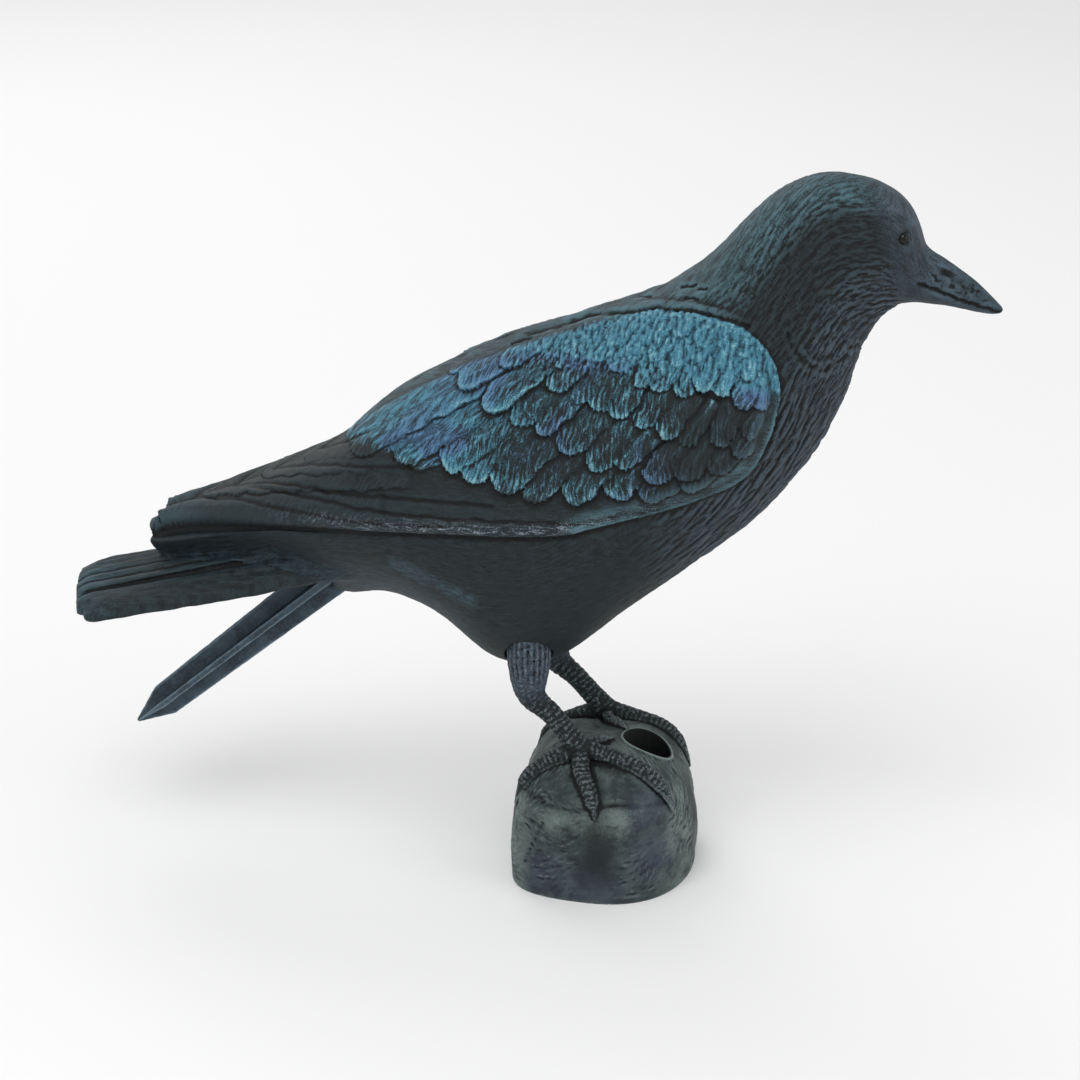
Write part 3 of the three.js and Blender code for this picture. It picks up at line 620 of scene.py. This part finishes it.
    # Paint. Teal covers the upper wing, thick at the top front; frost is the blue-grey haze, from teal
    # grey (hue 0) to violet grey (hue 1); white is rubbed on the lower wing edge.
    teal_low = flowing(*np.array([
        (-120, 176), (-109, 173), (-53, 159), (-29, 155), (-2, 151), (25, 156), (52, 165), (76, 184),
    ]).T)(along)
    teal = ramp(rise, teal_low - 3, teal_low + 5) * in_wing * ramp(along, -116, -100)
    thick = ramp(rise + 0.12 * along, 201, 216) * ramp(along, -75, -10)
    teal *= 0.26 + 0.34 * ramp(along, -15, -60) + 0.12 * ramp(rise, 170, 190) + 0.62 * thick
    teal *= 1 - 0.6 * ramp(along, 15, 45) * ramp(rise, 205, 190)
    rim_band = 0.7 * hump(low + 5 - rise, 5.0) * in_wing * ramp(along, -30, 40)
    rim_band = np.maximum(rim_band, 1.1 * in_wing * ramp(from_front, 10, 4))
    back = (1 - in_wing) * ramp(angle, 0.35, 1.0) * trunk_side
    face = ramp(along + 0.35 * (rise - 268), 108, 118) * trunk_side * (z > 225)
    rear = ramp(x, -30, -70) * ramp(angle, -0.3, -0.9) * trunk_side
    far_back = ramp(x, -90, -130)
    flank_streak = hump(far_from_line(along, rise, np.array([(-82, 122.5), (-50, 109.5)])), 3.6)
    frost = np.maximum.reduce([
        0.75 * flank_streak * plain,
        (0.95 + 0.3 * head) * back * (1 - 0.45 * far_back),
        (0.72 + 0.08 * beak) * face,
        0.6 * breast,
        0.5 * rear,
        rim_band,
        on_tail * (0.2 + 0.35 * ramp(x, -200, -224)),
        0.34 * in_wing * ramp(along, -150, -185),
        0.22 * in_wing * (1 - ramp(rise, teal_low - 3, teal_low + 5)) * ramp(tipness, 0.2, 1),
        np.full(len(x), 0.12),
    ])
    hue = np.maximum(0.8 * face * (1 - 0.3 * beak), 0.75 * breast) + 0.3 * rear
    white = hump(rise - low - 2.8, 2.6) * in_wing * ramp(along, -140, -98) * ramp(along, 50, -25)
    white *= 0.45 + 0.55 * ramp(grain(points / 8.0, 23), -0.5, 0.4)
    paint = {"teal": teal, "frost": frost, "hue": hue, "white": white, "tip": tipness * in_wing}
    return relief, paint, barb


def softened(piece, values, rounds):
    """Values averaged with their neighbours, round after round."""
    ends = np.empty(len(piece.data.edges) * 2, np.int32)
    piece.data.edges.foreach_get("vertices", ends)
    a, b = ends[0::2], ends[1::2]
    count = np.bincount(ends, minlength=len(values))
    for _ in range(rounds):
        total = np.bincount(a, values[b], len(values)) + np.bincount(b, values[a], len(values))
        values = (values + total) / (1 + count)
    return values


def softened_points(piece, points, rounds):
    return np.stack([softened(piece, column, rounds) for column in points.T], 1)


def keep_on(piece, name, values):
    """Stores a value, or a vector, for each point of the mesh, for the material to read."""
    kind = "FLOAT" if values.ndim == 1 else "FLOAT_VECTOR"
    layer = piece.data.attributes.new(name, kind, "POINT")
    layer.data.foreach_set("value" if values.ndim == 1 else "vector", values.astype(np.float32).ravel())


def thinned(piece, triangles):
    piece.data.calc_loop_triangles()
    ratio = triangles / len(piece.data.loop_triangles)
    apply_modifier(piece, "DECIMATE", ratio=min(ratio, 1))
    bpy.ops.object.shade_smooth()


skin_points = points_of(body)
# where the tail grows out of the trunk the two are blended
blended = softened_points(body, skin_points, 60)
x, y, z = skin_points.T
join = ramp(x, -150, -128) * ramp(x, -72, -84) * ramp(z, 140, 132)
skin_points = skin_points + (blended - skin_points) * join[:, None]
# the tip of the beak is rounded
rounded = softened_points(body, skin_points, 8)
skin_points = skin_points + (rounded - skin_points) * ramp(x, 153, 158)[:, None]
move_points(body, skin_points)
relief, paint, barb = carve(skin_points)
raised = skin_points + normals_of(body) * relief[:, None]
# The shell keeps to the outline of the solid it stands for.
shell_low, shell_high = (-230.5, -53.4, 91.3), (160.3, 53.4, 307.6)
move_points(body, np.clip(raised, shell_low, shell_high))
keep_on(body, "crest", np.clip(0.5 + (relief - softened(body, relief, 14)) / 0.7, 0, 1))
for name, values in paint.items():
    keep_on(body, name, values)
keep_on(body, "barb", barb)
thinned(body, triangles=196000)

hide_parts("body")
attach(body, "root")


def linear(hex_colour):
    """An sRGB colour such as #20282b as the linear numbers that a shader takes."""
    parts = [int(hex_colour[i:i + 2], 16) / 255 for i in (1, 3, 5)]
    return tuple(c / 12.92 if c <= 0.04045 else ((c + 0.055) / 1.055) ** 2.4 for c in parts) + (1.0,)


def node(kind, *inputs, out=None, **settings):
    """Adds a node to the tree in hand. Its inputs come in the order of its sockets, or by name in a dict;
    each is a value, a hex colour or an output to link. Gives back its first output, or the named one."""
    made = tree.nodes.new("ShaderNode" + kind)
    for key, setting in settings.items():
        setattr(made, key, setting)
    sockets = [socket for socket in made.inputs if socket.enabled]
    if inputs and isinstance(inputs[0], dict):
        sockets, inputs = [made.inputs[key] for key in inputs[0]], inputs[0].values()
    for socket, given in zip(sockets, inputs):
        if isinstance(given, bpy.types.NodeSocket):
            tree.links.new(given, socket)
        else:
            socket.default_value = linear(given) if isinstance(given, str) else given
    outputs = [socket for socket in made.outputs if socket.enabled and out in (None, socket.name)]
    return outputs[0] if outputs else None


def material_on(piece, name):
    material = bpy.data.materials.new(name)
    material.use_nodes = True
    material.node_tree.nodes.clear()
    piece.data.materials.clear()
    piece.data.materials.append(material)
    return material.node_tree


# Blow-moulded polyethylene, dark through and through, with a fine mould grain that keeps it satin. The
# dry brush leaves paint on what stands up, in streaks along the barbs; the grooves stay bare, in painted
# shade.
# The grain of each plastic is drawn coarser than it is, about 1 mm, because the real one would not show.
tree = material_on(body, "blow_moulded_polyethylene_dry_brushed")
at = node("TexCoord", out="Object")
crest, teal, frost, hue, white, tip = [
    node("Attribute", attribute_name=name, out="Fac")
    for name in ("crest", "teal", "frost", "hue", "white", "tip")
]
smooth = {"interpolation_type": "SMOOTHSTEP"}
grit = node("TexNoise", at, 1500.0, 3.0, 0.75)  # 0.7 mm
blotch = node("TexNoise", at, 70.0, 3.0, 0.6)  # 14 mm
patch = node("TexNoise", at, 28.0, 2.0)  # 36 mm
# streaks 0.8 mm wide and 6 mm long, along the barbs
barb_at = node("Attribute", attribute_name="barb", out="Vector")
streak_at = node("Mapping", {"Vector": barb_at, "Scale": (1.25, 0.17, 1.0)})
streak = node("TexNoise", streak_at, 1.0, 3.0, 0.65)
speckle = node("Math", streak, 0.45, operation="MULTIPLY")
speckle = node("Math", grit, 0.55, speckle, operation="MULTIPLY_ADD")

# Bare plastic, with painted shade in the grooves.
colour = "#0c1011"
spots = node("MapRange", speckle, 0.4, 0.62, **smooth)
clouds = node("MapRange", blotch, 0.35, 0.7, **smooth)
groove_shade = node("MapRange", crest, 0.5, 0.12, **smooth)
for share, coat in ((spots, "#232a2d"), (clouds, "#14191a"), (groove_shade, "#0c1012")):
    colour = node("Mix", share, colour, coat, data_type="RGBA")

# The haze, from teal grey to violet grey, on the crests and thinner in clouds.
haze = node("Math", speckle, 1.3, operation="MULTIPLY")
haze = node("Math", crest, 0.7, haze, operation="MULTIPLY_ADD")
haze = node("MapRange", haze, 0.78, 1.3, **smooth)
haze = node("Math", haze, frost, operation="MULTIPLY", use_clamp=True)
haze = node("Math", haze, node("MapRange", blotch, 0.0, 0.6, **smooth), operation="MULTIPLY")
hazes = node("Mix", hue, "#4d6e79", "#525d6c", data_type="RGBA")

# The teal, lighter where more of it caught, and violet in patches where it is thin.
tint = node("Math", crest, 0.25, operation="MULTIPLY")
tint = node("Math", speckle, 0.9, tint, operation="MULTIPLY_ADD")
fair = node("MapRange", tint, 0.42, 0.62, **smooth)
pale = node("MapRange", tint, 0.62, 0.82, **smooth)
thin = node("MapRange", teal, 0.85, 0.5, **smooth)
violet = node("Math", node("MapRange", patch, 0.5, 0.62, **smooth), thin, operation="MULTIPLY")
violet = node("Math", violet, 0.6, operation="MULTIPLY")
teals = "#28495c"
for share, coat in ((fair, "#427c92"), (pale, "#8cbac2"), (violet, "#4d5d94")):
    teals = node("Mix", share, teals, coat, data_type="RGBA")
catch = teal
lines = node("MapRange", streak, 0.4, 0.6, **smooth)
for share, amount in ((crest, 0.7), (speckle, 1.5), (tip, 0.2), (lines, 0.3)):
    catch = node("Math", share, amount, catch, operation="MULTIPLY_ADD")
catch = node("MapRange", catch, 1.55, 2.2, **smooth)
painted = node("MapRange", teal, 0.05, 0.3, **smooth)
brushed = node("Math", catch, painted, operation="MULTIPLY", use_clamp=True)

# The white rub, in dry specks.
rubbed = node("MapRange", speckle, 0.5, 0.62, **smooth)
rubbed = node("Math", rubbed, white, operation="MULTIPLY", use_clamp=True)
for share, coat in ((haze, hazes), (brushed, teals), (rubbed, "#9aa5b2")):
    colour = node("Mix", share, colour, coat, data_type="RGBA")
shader = node("BsdfPrincipled", {
    "Base Color": colour,
    "Roughness": node("MapRange", grit, -0.6, 1.4, **smooth),
    "IOR": 1.5,
    "Specular IOR Level": 0.25,
    "Normal": node("Bump", {"Height": speckle, "Strength": 0.9, "Distance": 0.0007}),
})
node("OutputMaterial", {"Surface": shader})


# Eyes: two small round bumps, moulded with the head and painted gloss black, so that they catch the
# light. Each sits in the middle of a shallow hollow and stands 0.9 mm out of the skin round it.
eye_radius, eye_stands_out = 2.5, 0.9
x, y, z = skin_points.T
for side, name in ((-1, "right_eye"), (1, "left_eye")):
    beside = (np.hypot(x - eye_at[0], z - eye_at[1]) < 1.5) & (y * side > 8)
    head_half = np.abs(y[beside]).mean()
    eye_centre = np.array([eye_at[0], side * (head_half + eye_stands_out - eye_radius), eye_at[1]])
    deselect()
    bpy.ops.mesh.primitive_uv_sphere_add(segments=64, ring_count=32, radius=eye_radius * MM)
    eye = bpy.context.object
    eye.name = name
    move_points(eye, points_of(eye) + eye_centre)
    bpy.ops.object.shade_smooth()
    # Gloss black paint: a dark bead with one small bright glint.
    tree = material_on(eye, "gloss_black_paint")
    shader = node("BsdfPrincipled", {
        "Base Color": "#040506", "Roughness": 0.14, "IOR": 1.5, "Specular IOR Level": 0.3,
    })
    node("OutputMaterial", {"Surface": shader})
    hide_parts("body")
    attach(eye, "root")


# Legs and boulder: one matt moulding that the crow stands on. The thighs are ribbed and knurled, the
# shanks and toes ringed with scales, and the boulder is a smooth lump with an upright hole through it
# that takes the stake. The leg tops plug into the belly.
boulder_half_length, boulder_half_width, boulder_height = 38.7, 44.5, 59.0
power_x, power_y, power_z = 3.0, 3.2, 3.0
stake_hole, stake_hole_radius = np.array([18.5, 0.0]), 10.0


def boulder_skin(t, angle):
    z = boulder_height * np.sin(t * math.pi / 2) ** 0.72 * np.where(t < 1, 1, 0.9999)
    left = np.maximum(1 - (z / boulder_height) ** power_z, 0)
    cosine, sine = np.cos(angle), np.sin(angle)
    low, high = np.zeros(len(z)), np.full(len(z), 2.0)
    for _ in range(30):
        r = (low + high) / 2
        inside = np.abs(r * cosine) ** power_x + np.abs(r * sine) ** power_y < left
        low, high = np.where(inside, r, low), np.where(inside, high, r)
    sway = 1 + 0.025 * np.sin(3 * angle + 0.6) + 0.02 * np.sin(5 * angle + 2)
    draw = (0.975 + 0.025 * np.minimum(z / 12, 1)) * sway
    reach = low * draw
    return np.stack([reach * cosine * boulder_half_length, reach * sine * boulder_half_width, z], 1)


def keep_crest(piece, points, rounds, height):
    """Stores how far each point stands above those around it: 0.5 where it is level with them."""
    level = softened_points(piece, points, rounds)
    stands = ((points - level) * normals_of(piece)).sum(1)
    keep_on(piece, "crest", np.clip(0.5 + stands / height, 0, 1))


def on_boulder(point, lift):
    """The point of the boulder's skin towards a given point, raised by lift."""
    inside = np.array([0.0, 0.0, 18.0])
    ray = np.asarray(point, float) - inside
    ray /= np.linalg.norm(ray)
    near, far = 0.0, 90.0
    for _ in range(40):
        reach = (near + far) / 2
        x, y, z = np.abs(inside + ray * reach)
        value_here = (x / boulder_half_length) ** power_x + (y / boulder_half_width) ** power_y
        if value_here + (z / boulder_height) ** power_z < 1:
            near = reach
        else:
            far = reach
    return inside + ray * (near + lift)


def limb(name, path, radius, sides, rings, facing):
    """A round limb along a path; radius takes the share of the way, the length so far and the angle, with
    angle 0 on the side that faces out."""
    path = np.array(path, float)
    knots = np.concatenate([[0], np.cumsum(np.linalg.norm(np.diff(path, axis=0), axis=1))])
    lines = [flowing(knots, column) for column in path.T]

    def place(t, angle):
        length = t * knots[-1]
        centre = np.stack([line(length) for line in lines], 1)
        ahead = np.stack([line(length + 0.2) - line(length - 0.2) for line in lines], 1)
        ahead /= np.linalg.norm(ahead, axis=1, keepdims=True)
        out = np.asarray(facing, float) - ahead * (ahead @ np.asarray(facing, float))[:, None]
        out /= np.linalg.norm(out, axis=1, keepdims=True)
        beside = np.cross(ahead, out)
        reach = radius(t, length, angle)[:, None]
        return centre + reach * (out * np.cos(angle)[:, None] + beside * np.sin(angle)[:, None])

    return skinned(name, sides, rings, place)


leg_radius = flowing([0, 0.18, 0.36, 0.48, 0.6, 0.8, 1], [9.1, 9.1, 7.5, 5.8, 4.6, 4.4, 4.9])
toe_radius = flowing([0, 0.3, 0.72, 0.8, 1], [4.2, 3.5, 3.0, 2.0, 0.5])
toe_seat = 1.5
toe_routes = [
    [(6, -22.5, 58), (18, -23, 52), (26, -23.5, 46), (31, -24, 40), (33.5, -24, 35)],
    [(-18, -22.5, 54), (-26, -23, 47), (-31, -24, 40), (-34, -24.5, 34)],
    [(-5, -30, 54), (-1, -36, 48), (2, -40, 41), (3, -42, 34)],
    [(-4, -14, 59), (1, -9, 59), (4.5, -5, 58)],
]


def shank_reach(t, length, angle):
    # 22 ribs down the thigh, then uneven rings of scales about 2.4 mm apart down the shank
    thigh = ramp(t, 0.40, 0.24)
    ribs = np.cos(angle * 22) * 0.24
    uneven = 1.1 * np.sin(length / 3.1 + 2 * angle) + 0.6 * np.sin(3 * angle + length)
    rings = np.abs(np.sin(math.pi * length / 2.4 + 0.5 * uneven)) ** 0.7 - 0.6
    return leg_radius(t) + thigh * ribs + (1 - thigh) * 0.32 * rings


def toe_reach(t, length, angle):
    uneven = 1.1 * np.sin(length / 2.3 + angle) + 1.8 * np.abs(np.sin(1.5 * angle))
    knuckles = np.abs(np.sin(math.pi * length / 2.1 + 0.5 * uneven)) ** 0.6 - 0.6
    claw = ramp(t, 0.76, 0.82)
    return toe_radius(t) + 0.28 * knuckles * (1 - claw)


def slim_toe_reach(t, length, angle):
    return 0.68 * toe_reach(t, length, angle)


moulded = []
for side, ahead in ((-1, 0.0), (1, left_leg_ahead)):
    leg_x = ahead * 0.7
    foot = np.array([-6.5 + ahead, side * leg_spread, 61.0])
    shank = [
        (thigh_forward + leg_x, side * leg_spread, 111),
        (thigh_forward + leg_x, side * leg_spread, 98),
        (-27.6 + leg_x, side * leg_spread, 84),
        (-18.6 + leg_x, side * leg_spread, 75),
        foot + (-3, 0, 3),
        foot,
    ]
    moulded.append(limb("shank", shank, shank_reach, 112, 190, (0, 1, 0)))
    for number, route in enumerate(toe_routes):
        points = [foot]
        if number == 3 and side == 1:
            route = [(-4, -14, 59), (3, -9, 59), (8.5, -5.5, 58)]
        for i, (x, y, z) in enumerate(route):
            left = 1 - i / (len(route) - 1)
            point = on_boulder((x + ahead * left, y, z), toe_seat * (0.4 + 0.6 * left))
            points.append(point * (1, -side, 1))
        reach = slim_toe_reach if number == 3 else toe_reach
        moulded.append(limb("toe", points, reach, 48, 130, (0, 0, 1)))

boulder = skinned("boulder", 160, 140, boulder_skin)
deselect()
bpy.ops.mesh.primitive_cylinder_add(
    vertices=96, radius=stake_hole_radius * MM, depth=150 * MM, location=(*(stake_hole * MM), 0.03)
)
hole_cutter = bpy.context.object
apply_modifier(boulder, "BOOLEAN", object=hole_cutter, operation="DIFFERENCE", solver="EXACT")
bpy.data.objects.remove(hole_cutter)
legs = fused([boulder] + moulded, "foot_and_legs", voxel=0.55)

skin_points = points_of(legs)
x, y, z = skin_points.T
hole_off = np.hypot(x - stake_hole[0], y - stake_hole[1])
off_boulder = (np.abs(x) / boulder_half_length) ** power_x + (np.abs(y) / boulder_half_width) ** power_y
off_boulder += (np.clip(z, 0, 99) / boulder_height) ** power_z
rocky = ramp(off_boulder, 1.12, 1.04) * ramp(hole_off, 10.2, 12.5) * ramp(z, 0.5, 4)
# The rock: wide soft swells, a ledge and a crease across the front, short scratches that follow
# swirls, and a thin raised lip round the hole.
round_boulder = np.arctan2(y, x)
swell = grain(skin_points / 13, 31) * 0.6 + grain(skin_points / 5.2, 32) * 0.22
front = ramp(y, -18, -30)
crease_at = z - 41.5 - 1.5 * np.sin(x / 7)
ledge = 0.7 * hump(crease_at + 4, 3.5)
ledge -= hump(crease_at, 1.2) * (0.2 + 0.4 * hump(x - 11, 7))
ledge *= front
fold = far_from_line(x, z, np.array([(-20, 33), (-24, 24), (-28, 14)]))
ledge -= front * 0.35 * hump(fold, 1.3)
swirl = 1.5 * grain(skin_points / 14, 33) + 0.5
scratches = strokes(round_boulder * 40, z, swirl, 2.6, 6.0, 0.55, 36)
broad_scratches = strokes(round_boulder * 40, z, swirl * 0.7, 6.0, 14.0, 0.8, 37)
rugged = 0.35 + 0.65 * ramp(grain(skin_points / 11, 38), -0.3, 0.4)
raised_lines = strokes(round_boulder * 40 + 9, z, swirl + 0.4, 3.4, 8.0, 0.5, 41)
scored = rugged * (0.12 * scratches + 0.17 * broad_scratches - 0.2 * raised_lines)
lip = 0.45 * hump(hole_off - 10.7, 0.5) * (z > 40)
scaly = 0.22 * grain(skin_points / 1.1, 39) * ramp(off_boulder, 1.08, 1.16)
leg_relief = rocky * (swell + ledge - scored) + lip + scaly
moved = skin_points + normals_of(legs) * leg_relief[:, None]
# It stands flat, and keeps to the outline of the solid it stands for.
moved[z < 0.35, 2] = 0
foot_low, foot_high = (-37.7, -45.2, 0), (39.3, 43.0, 111)
move_points(legs, np.clip(moved, foot_low, foot_high))
keep_on(legs, "rock", ramp(off_boulder, 1.12, 1.03))
keep_on(legs, "thigh", ramp(z, 80, 90))
# pale over the middle of the front and towards the top, painted reflection at both ends and a painted
# highlight on the lip; violet low down where the brush passed
pale = np.maximum.reduce([
    hump(x - 7, 11) * hump(z - 36, 7) * front,
    0.8 * hump(x + 12, 8) * hump(z - 34, 5) * front,
    0.9 * ramp(x, -24, -35),
    0.8 * ramp(x, 26, 37),
    0.9 * hump(hole_off - 10.9, 0.9) * (z > 40),
    0.35 * ramp(z, 48, 56),
])
keep_on(legs, "pale", pale)
violet_at = [(22, 39, 7), (-19, 11, 10), (27, 20, 9), (2, 8, 12)]
keep_on(legs, "violet", np.maximum.reduce([
    hump(x - at_x, size) * hump(z - at_z, size) for at_x, at_z, size in violet_at]))
keep_crest(legs, moved, 12, 0.5)
thinned(legs, triangles=150000)
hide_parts("legs_on_boulder")
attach(legs, "root")

# Injection-moulded plastic, matt and slightly mottled: green-grey with violet patches where the brush
# passed, pale patches that are partly painted reflection and highlight, and painted shade between the
# scales and ribs.
tree = material_on(legs, "injection_moulded_plastic_brushed")
at = node("TexCoord", out="Object")
crest, rock, thigh, pale, violet = [
    node("Attribute", attribute_name=name, out="Fac")
    for name in ("crest", "rock", "thigh", "pale", "violet")
]
grit = node("TexNoise", at, 1400.0, 3.0, 0.75)  # 0.7 mm
blotch = node("TexNoise", at, 90.0, 4.0, 0.65)  # 11 mm

# The boulder.
clouds = node("MapRange", blotch, 0.35, 0.65, **smooth)
violet = node("Math", violet, 0.6, operation="MULTIPLY")
# Light coat on raised spots and in clouds, most where pale: partly rubbed paint, partly painted reflection
# at the ends and a painted highlight on the lip.
rub_and_sheen = node("Math", crest, 0.4, operation="MULTIPLY")
for share, amount in ((blotch, 0.6), (grit, 0.5)):
    rub_and_sheen = node("Math", share, amount, rub_and_sheen, operation="MULTIPLY_ADD")
rub_and_sheen = node("MapRange", rub_and_sheen, 0.6, 0.95, **smooth)
everywhere = node("Math", pale, 0.22, operation="ADD")
rub_and_sheen = node("Math", rub_and_sheen, everywhere, operation="MULTIPLY", use_clamp=True)
stone = "#232c2e"
for share, coat in ((clouds, "#364244"), (violet, "#333850"), (rub_and_sheen, "#6e7d78")):
    stone = node("Mix", share, stone, coat, data_type="RGBA")

# The skin of legs and toes, blue-grey on the thighs.
specks = node("MapRange", grit, 0.35, 0.7, **smooth)
skin = node("Mix", specks, "#0f1416", "#1c2528", data_type="RGBA")
worn = node("MapRange", grit, 0.3, 0.6, **smooth)
worn = node("Math", thigh, worn, operation="MULTIPLY")
worn = node("Math", worn, 0.75, operation="MULTIPLY")
skin = node("Mix", worn, skin, "#4b5a6b", data_type="RGBA")

# Both get painted shade in the grooves and painted highlights on the crests, and painted shadow fills the
# inside of the hole.
groove_shade = node("MapRange", crest, 0.48, 0.1, **smooth)
lit = node("MapRange", crest, 0.62, 1.0, **smooth)
lit = node("Math", lit, node("MapRange", grit, 0.4, 0.6, **smooth), operation="MULTIPLY")
lit = node("Math", lit, 0.62, operation="MULTIPLY")
flat_at = node("VectorMath", at, (1, 1, 0), operation="MULTIPLY")
from_hole = node("VectorMath", flat_at, (*(stake_hole * MM), 0), operation="DISTANCE")
shadow_from, shadow_to = (stake_hole_radius + 0.6) * MM, (stake_hole_radius + 0.2) * MM
# painted shadow inside the stake hole, near black
hole_shadow = node("MapRange", from_hole, shadow_from, shadow_to, **smooth)
colour = skin
for share, coat in ((rock, stone), (groove_shade, "#0a0d0e"), (lit, "#7d8b8f"), (hole_shadow, "#0a0c0d")):
    colour = node("Mix", share, colour, coat, data_type="RGBA")
shader = node("BsdfPrincipled", {
    "Base Color": colour,
    "Roughness": node("MapRange", grit, -0.7, 1.2, **smooth),
    "IOR": 1.49,
    "Specular IOR Level": 0.3,
    "Normal": node("Bump", {"Height": grit, "Strength": 0.8, "Distance": 0.0005}),
})
node("OutputMaterial", {"Surface": shader})


# Ground stake: an injection-moulded rod with a cross section and a point, pushed into the slot under the
# tail. Its fins have soft moulded edges, with a painted highlight along them.
stake = cross_bar("stake_rod", stake_fin, stake_thickness, stake_length - stake_point)
low_end = -(stake_length - stake_point) * MM
bpy.ops.object.mode_set(mode="EDIT")
bpy.ops.mesh.select_all(action="DESELECT")
bpy.ops.object.mode_set(mode="OBJECT")
for face in stake.data.polygons:
    face.select = face.center[2] < low_end + 1e-5
bpy.ops.object.mode_set(mode="EDIT")
shrink = stake_fin_at_point / stake_fin
bpy.ops.transform.resize(value=(shrink, shrink, 1), center_override=(0, 0, 0))
bpy.ops.mesh.extrude_region_move(TRANSFORM_OT_translate={"value": (0, 0, -stake_point * MM)})
bpy.ops.transform.resize(value=(0.1, 0.1, 1), center_override=(0, 0, 0))
bpy.ops.object.mode_set(mode="OBJECT")
plugged_in(stake)
stake = fused([stake], "stake_rod", voxel=0.42)
apply_modifier(stake, "SMOOTH", factor=0.5, iterations=3)
skin_points = points_of(stake)
wear = 0.10 * grain(skin_points / 3.0, 51) + 0.06 * grain(skin_points / 1.3, 52)
move_points(stake, skin_points + normals_of(stake) * wear[:, None])
keep_crest(stake, points_of(stake), 10, 0.8)
thinned(stake, triangles=50000)
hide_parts("ground_stake")
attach(stake, "root")

# Injection-moulded plastic, blue-grey and satin, with painted highlights along the fins' edges.
tree = material_on(stake, "injection_moulded_plastic_satin")
at = node("TexCoord", out="Object")
crest = node("Attribute", attribute_name="crest", out="Fac")
grit = node("TexNoise", at, 800.0, 3.0, 0.7)  # 1.2 mm
blotch = node("TexNoise", at, 90.0, 3.0, 0.6)  # 11 mm
clouds = node("MapRange", blotch, 0.35, 0.65, **smooth)
# painted highlight along the fins' edges
edges = node("MapRange", crest, 0.52, 0.85, **smooth)
edges = node("Math", edges, 0.75, operation="MULTIPLY")
specks = node("MapRange", grit, 0.45, 0.7, **smooth)
specks = node("Math", specks, 0.4, operation="MULTIPLY")
colour = "#222d35"
for share, coat in ((clouds, "#394a55"), (edges, "#6b8190"), (specks, "#4d6270")):
    colour = node("Mix", share, colour, coat, data_type="RGBA")
shader = node("BsdfPrincipled", {
    "Base Color": colour,
    "Roughness": node("MapRange", grit, -0.7, 1.4, **smooth),
    "IOR": 1.49,
    "Specular IOR Level": 0.35,
    "Normal": node("Bump", {"Height": grit, "Strength": 0.3, "Distance": 0.0003}),
})
node("OutputMaterial", {"Surface": shader})


# Studio: a plain pale floor of matt paper, three soft panels of light and a camera at the photograph's
# angle.
deselect()
bpy.ops.mesh.primitive_plane_add(size=12, location=(0, 0, 0))
floor = bpy.context.object
floor.name = "floor"
tree = material_on(floor, "matt_paper")
node("OutputMaterial", node("BsdfPrincipled", {"Base Color": "#f2f2f2", "Roughness": 0.9}))

focus = np.array([-0.028, 0.0, 0.145])
for name, place, size, power in (
    ("key panel", (-0.3, -1.2, 1.9), 1.3, 17.0),
    ("side panel", (1.7, -0.7, 0.9), 1.2, 6.0),
    ("back panel", (-1.0, 1.4, 1.4), 1.4, 9.0),
):
    deselect()
    bpy.ops.object.light_add(type="AREA", location=place)
    panel = bpy.context.object
    panel.name = name
    panel.data.shape = "SQUARE"
    panel.data.size = size
    panel.data.energy = power
    aim = focus - np.array(place)
    panel.rotation_euler = (
        math.atan2(math.hypot(aim[0], aim[1]), -aim[2]), 0, math.atan2(aim[1], aim[0]) - math.pi / 2)

world = bpy.data.worlds.new("soft studio")
bpy.context.scene.world = world
world.use_nodes = True
tree = world.node_tree
tree.nodes.clear()
node("OutputWorld", node("Background", "#ffffff", 0.7))

azimuth, elevation, distance = math.radians(10), math.radians(20), 1.4
deselect()
bpy.ops.object.camera_add()
camera = bpy.context.object
camera.name = "camera"
camera.location = focus + distance * np.array([
    math.cos(elevation) * math.sin(azimuth), -math.cos(elevation) * math.cos(azimuth), math.sin(elevation)])
camera.rotation_euler = (math.pi / 2 - elevation, 0, azimuth)
camera.data.lens = 111.1
camera.data.sensor_width = 36
bpy.context.scene.camera = camera
bpy.context.scene.view_settings.view_transform = "Standard"
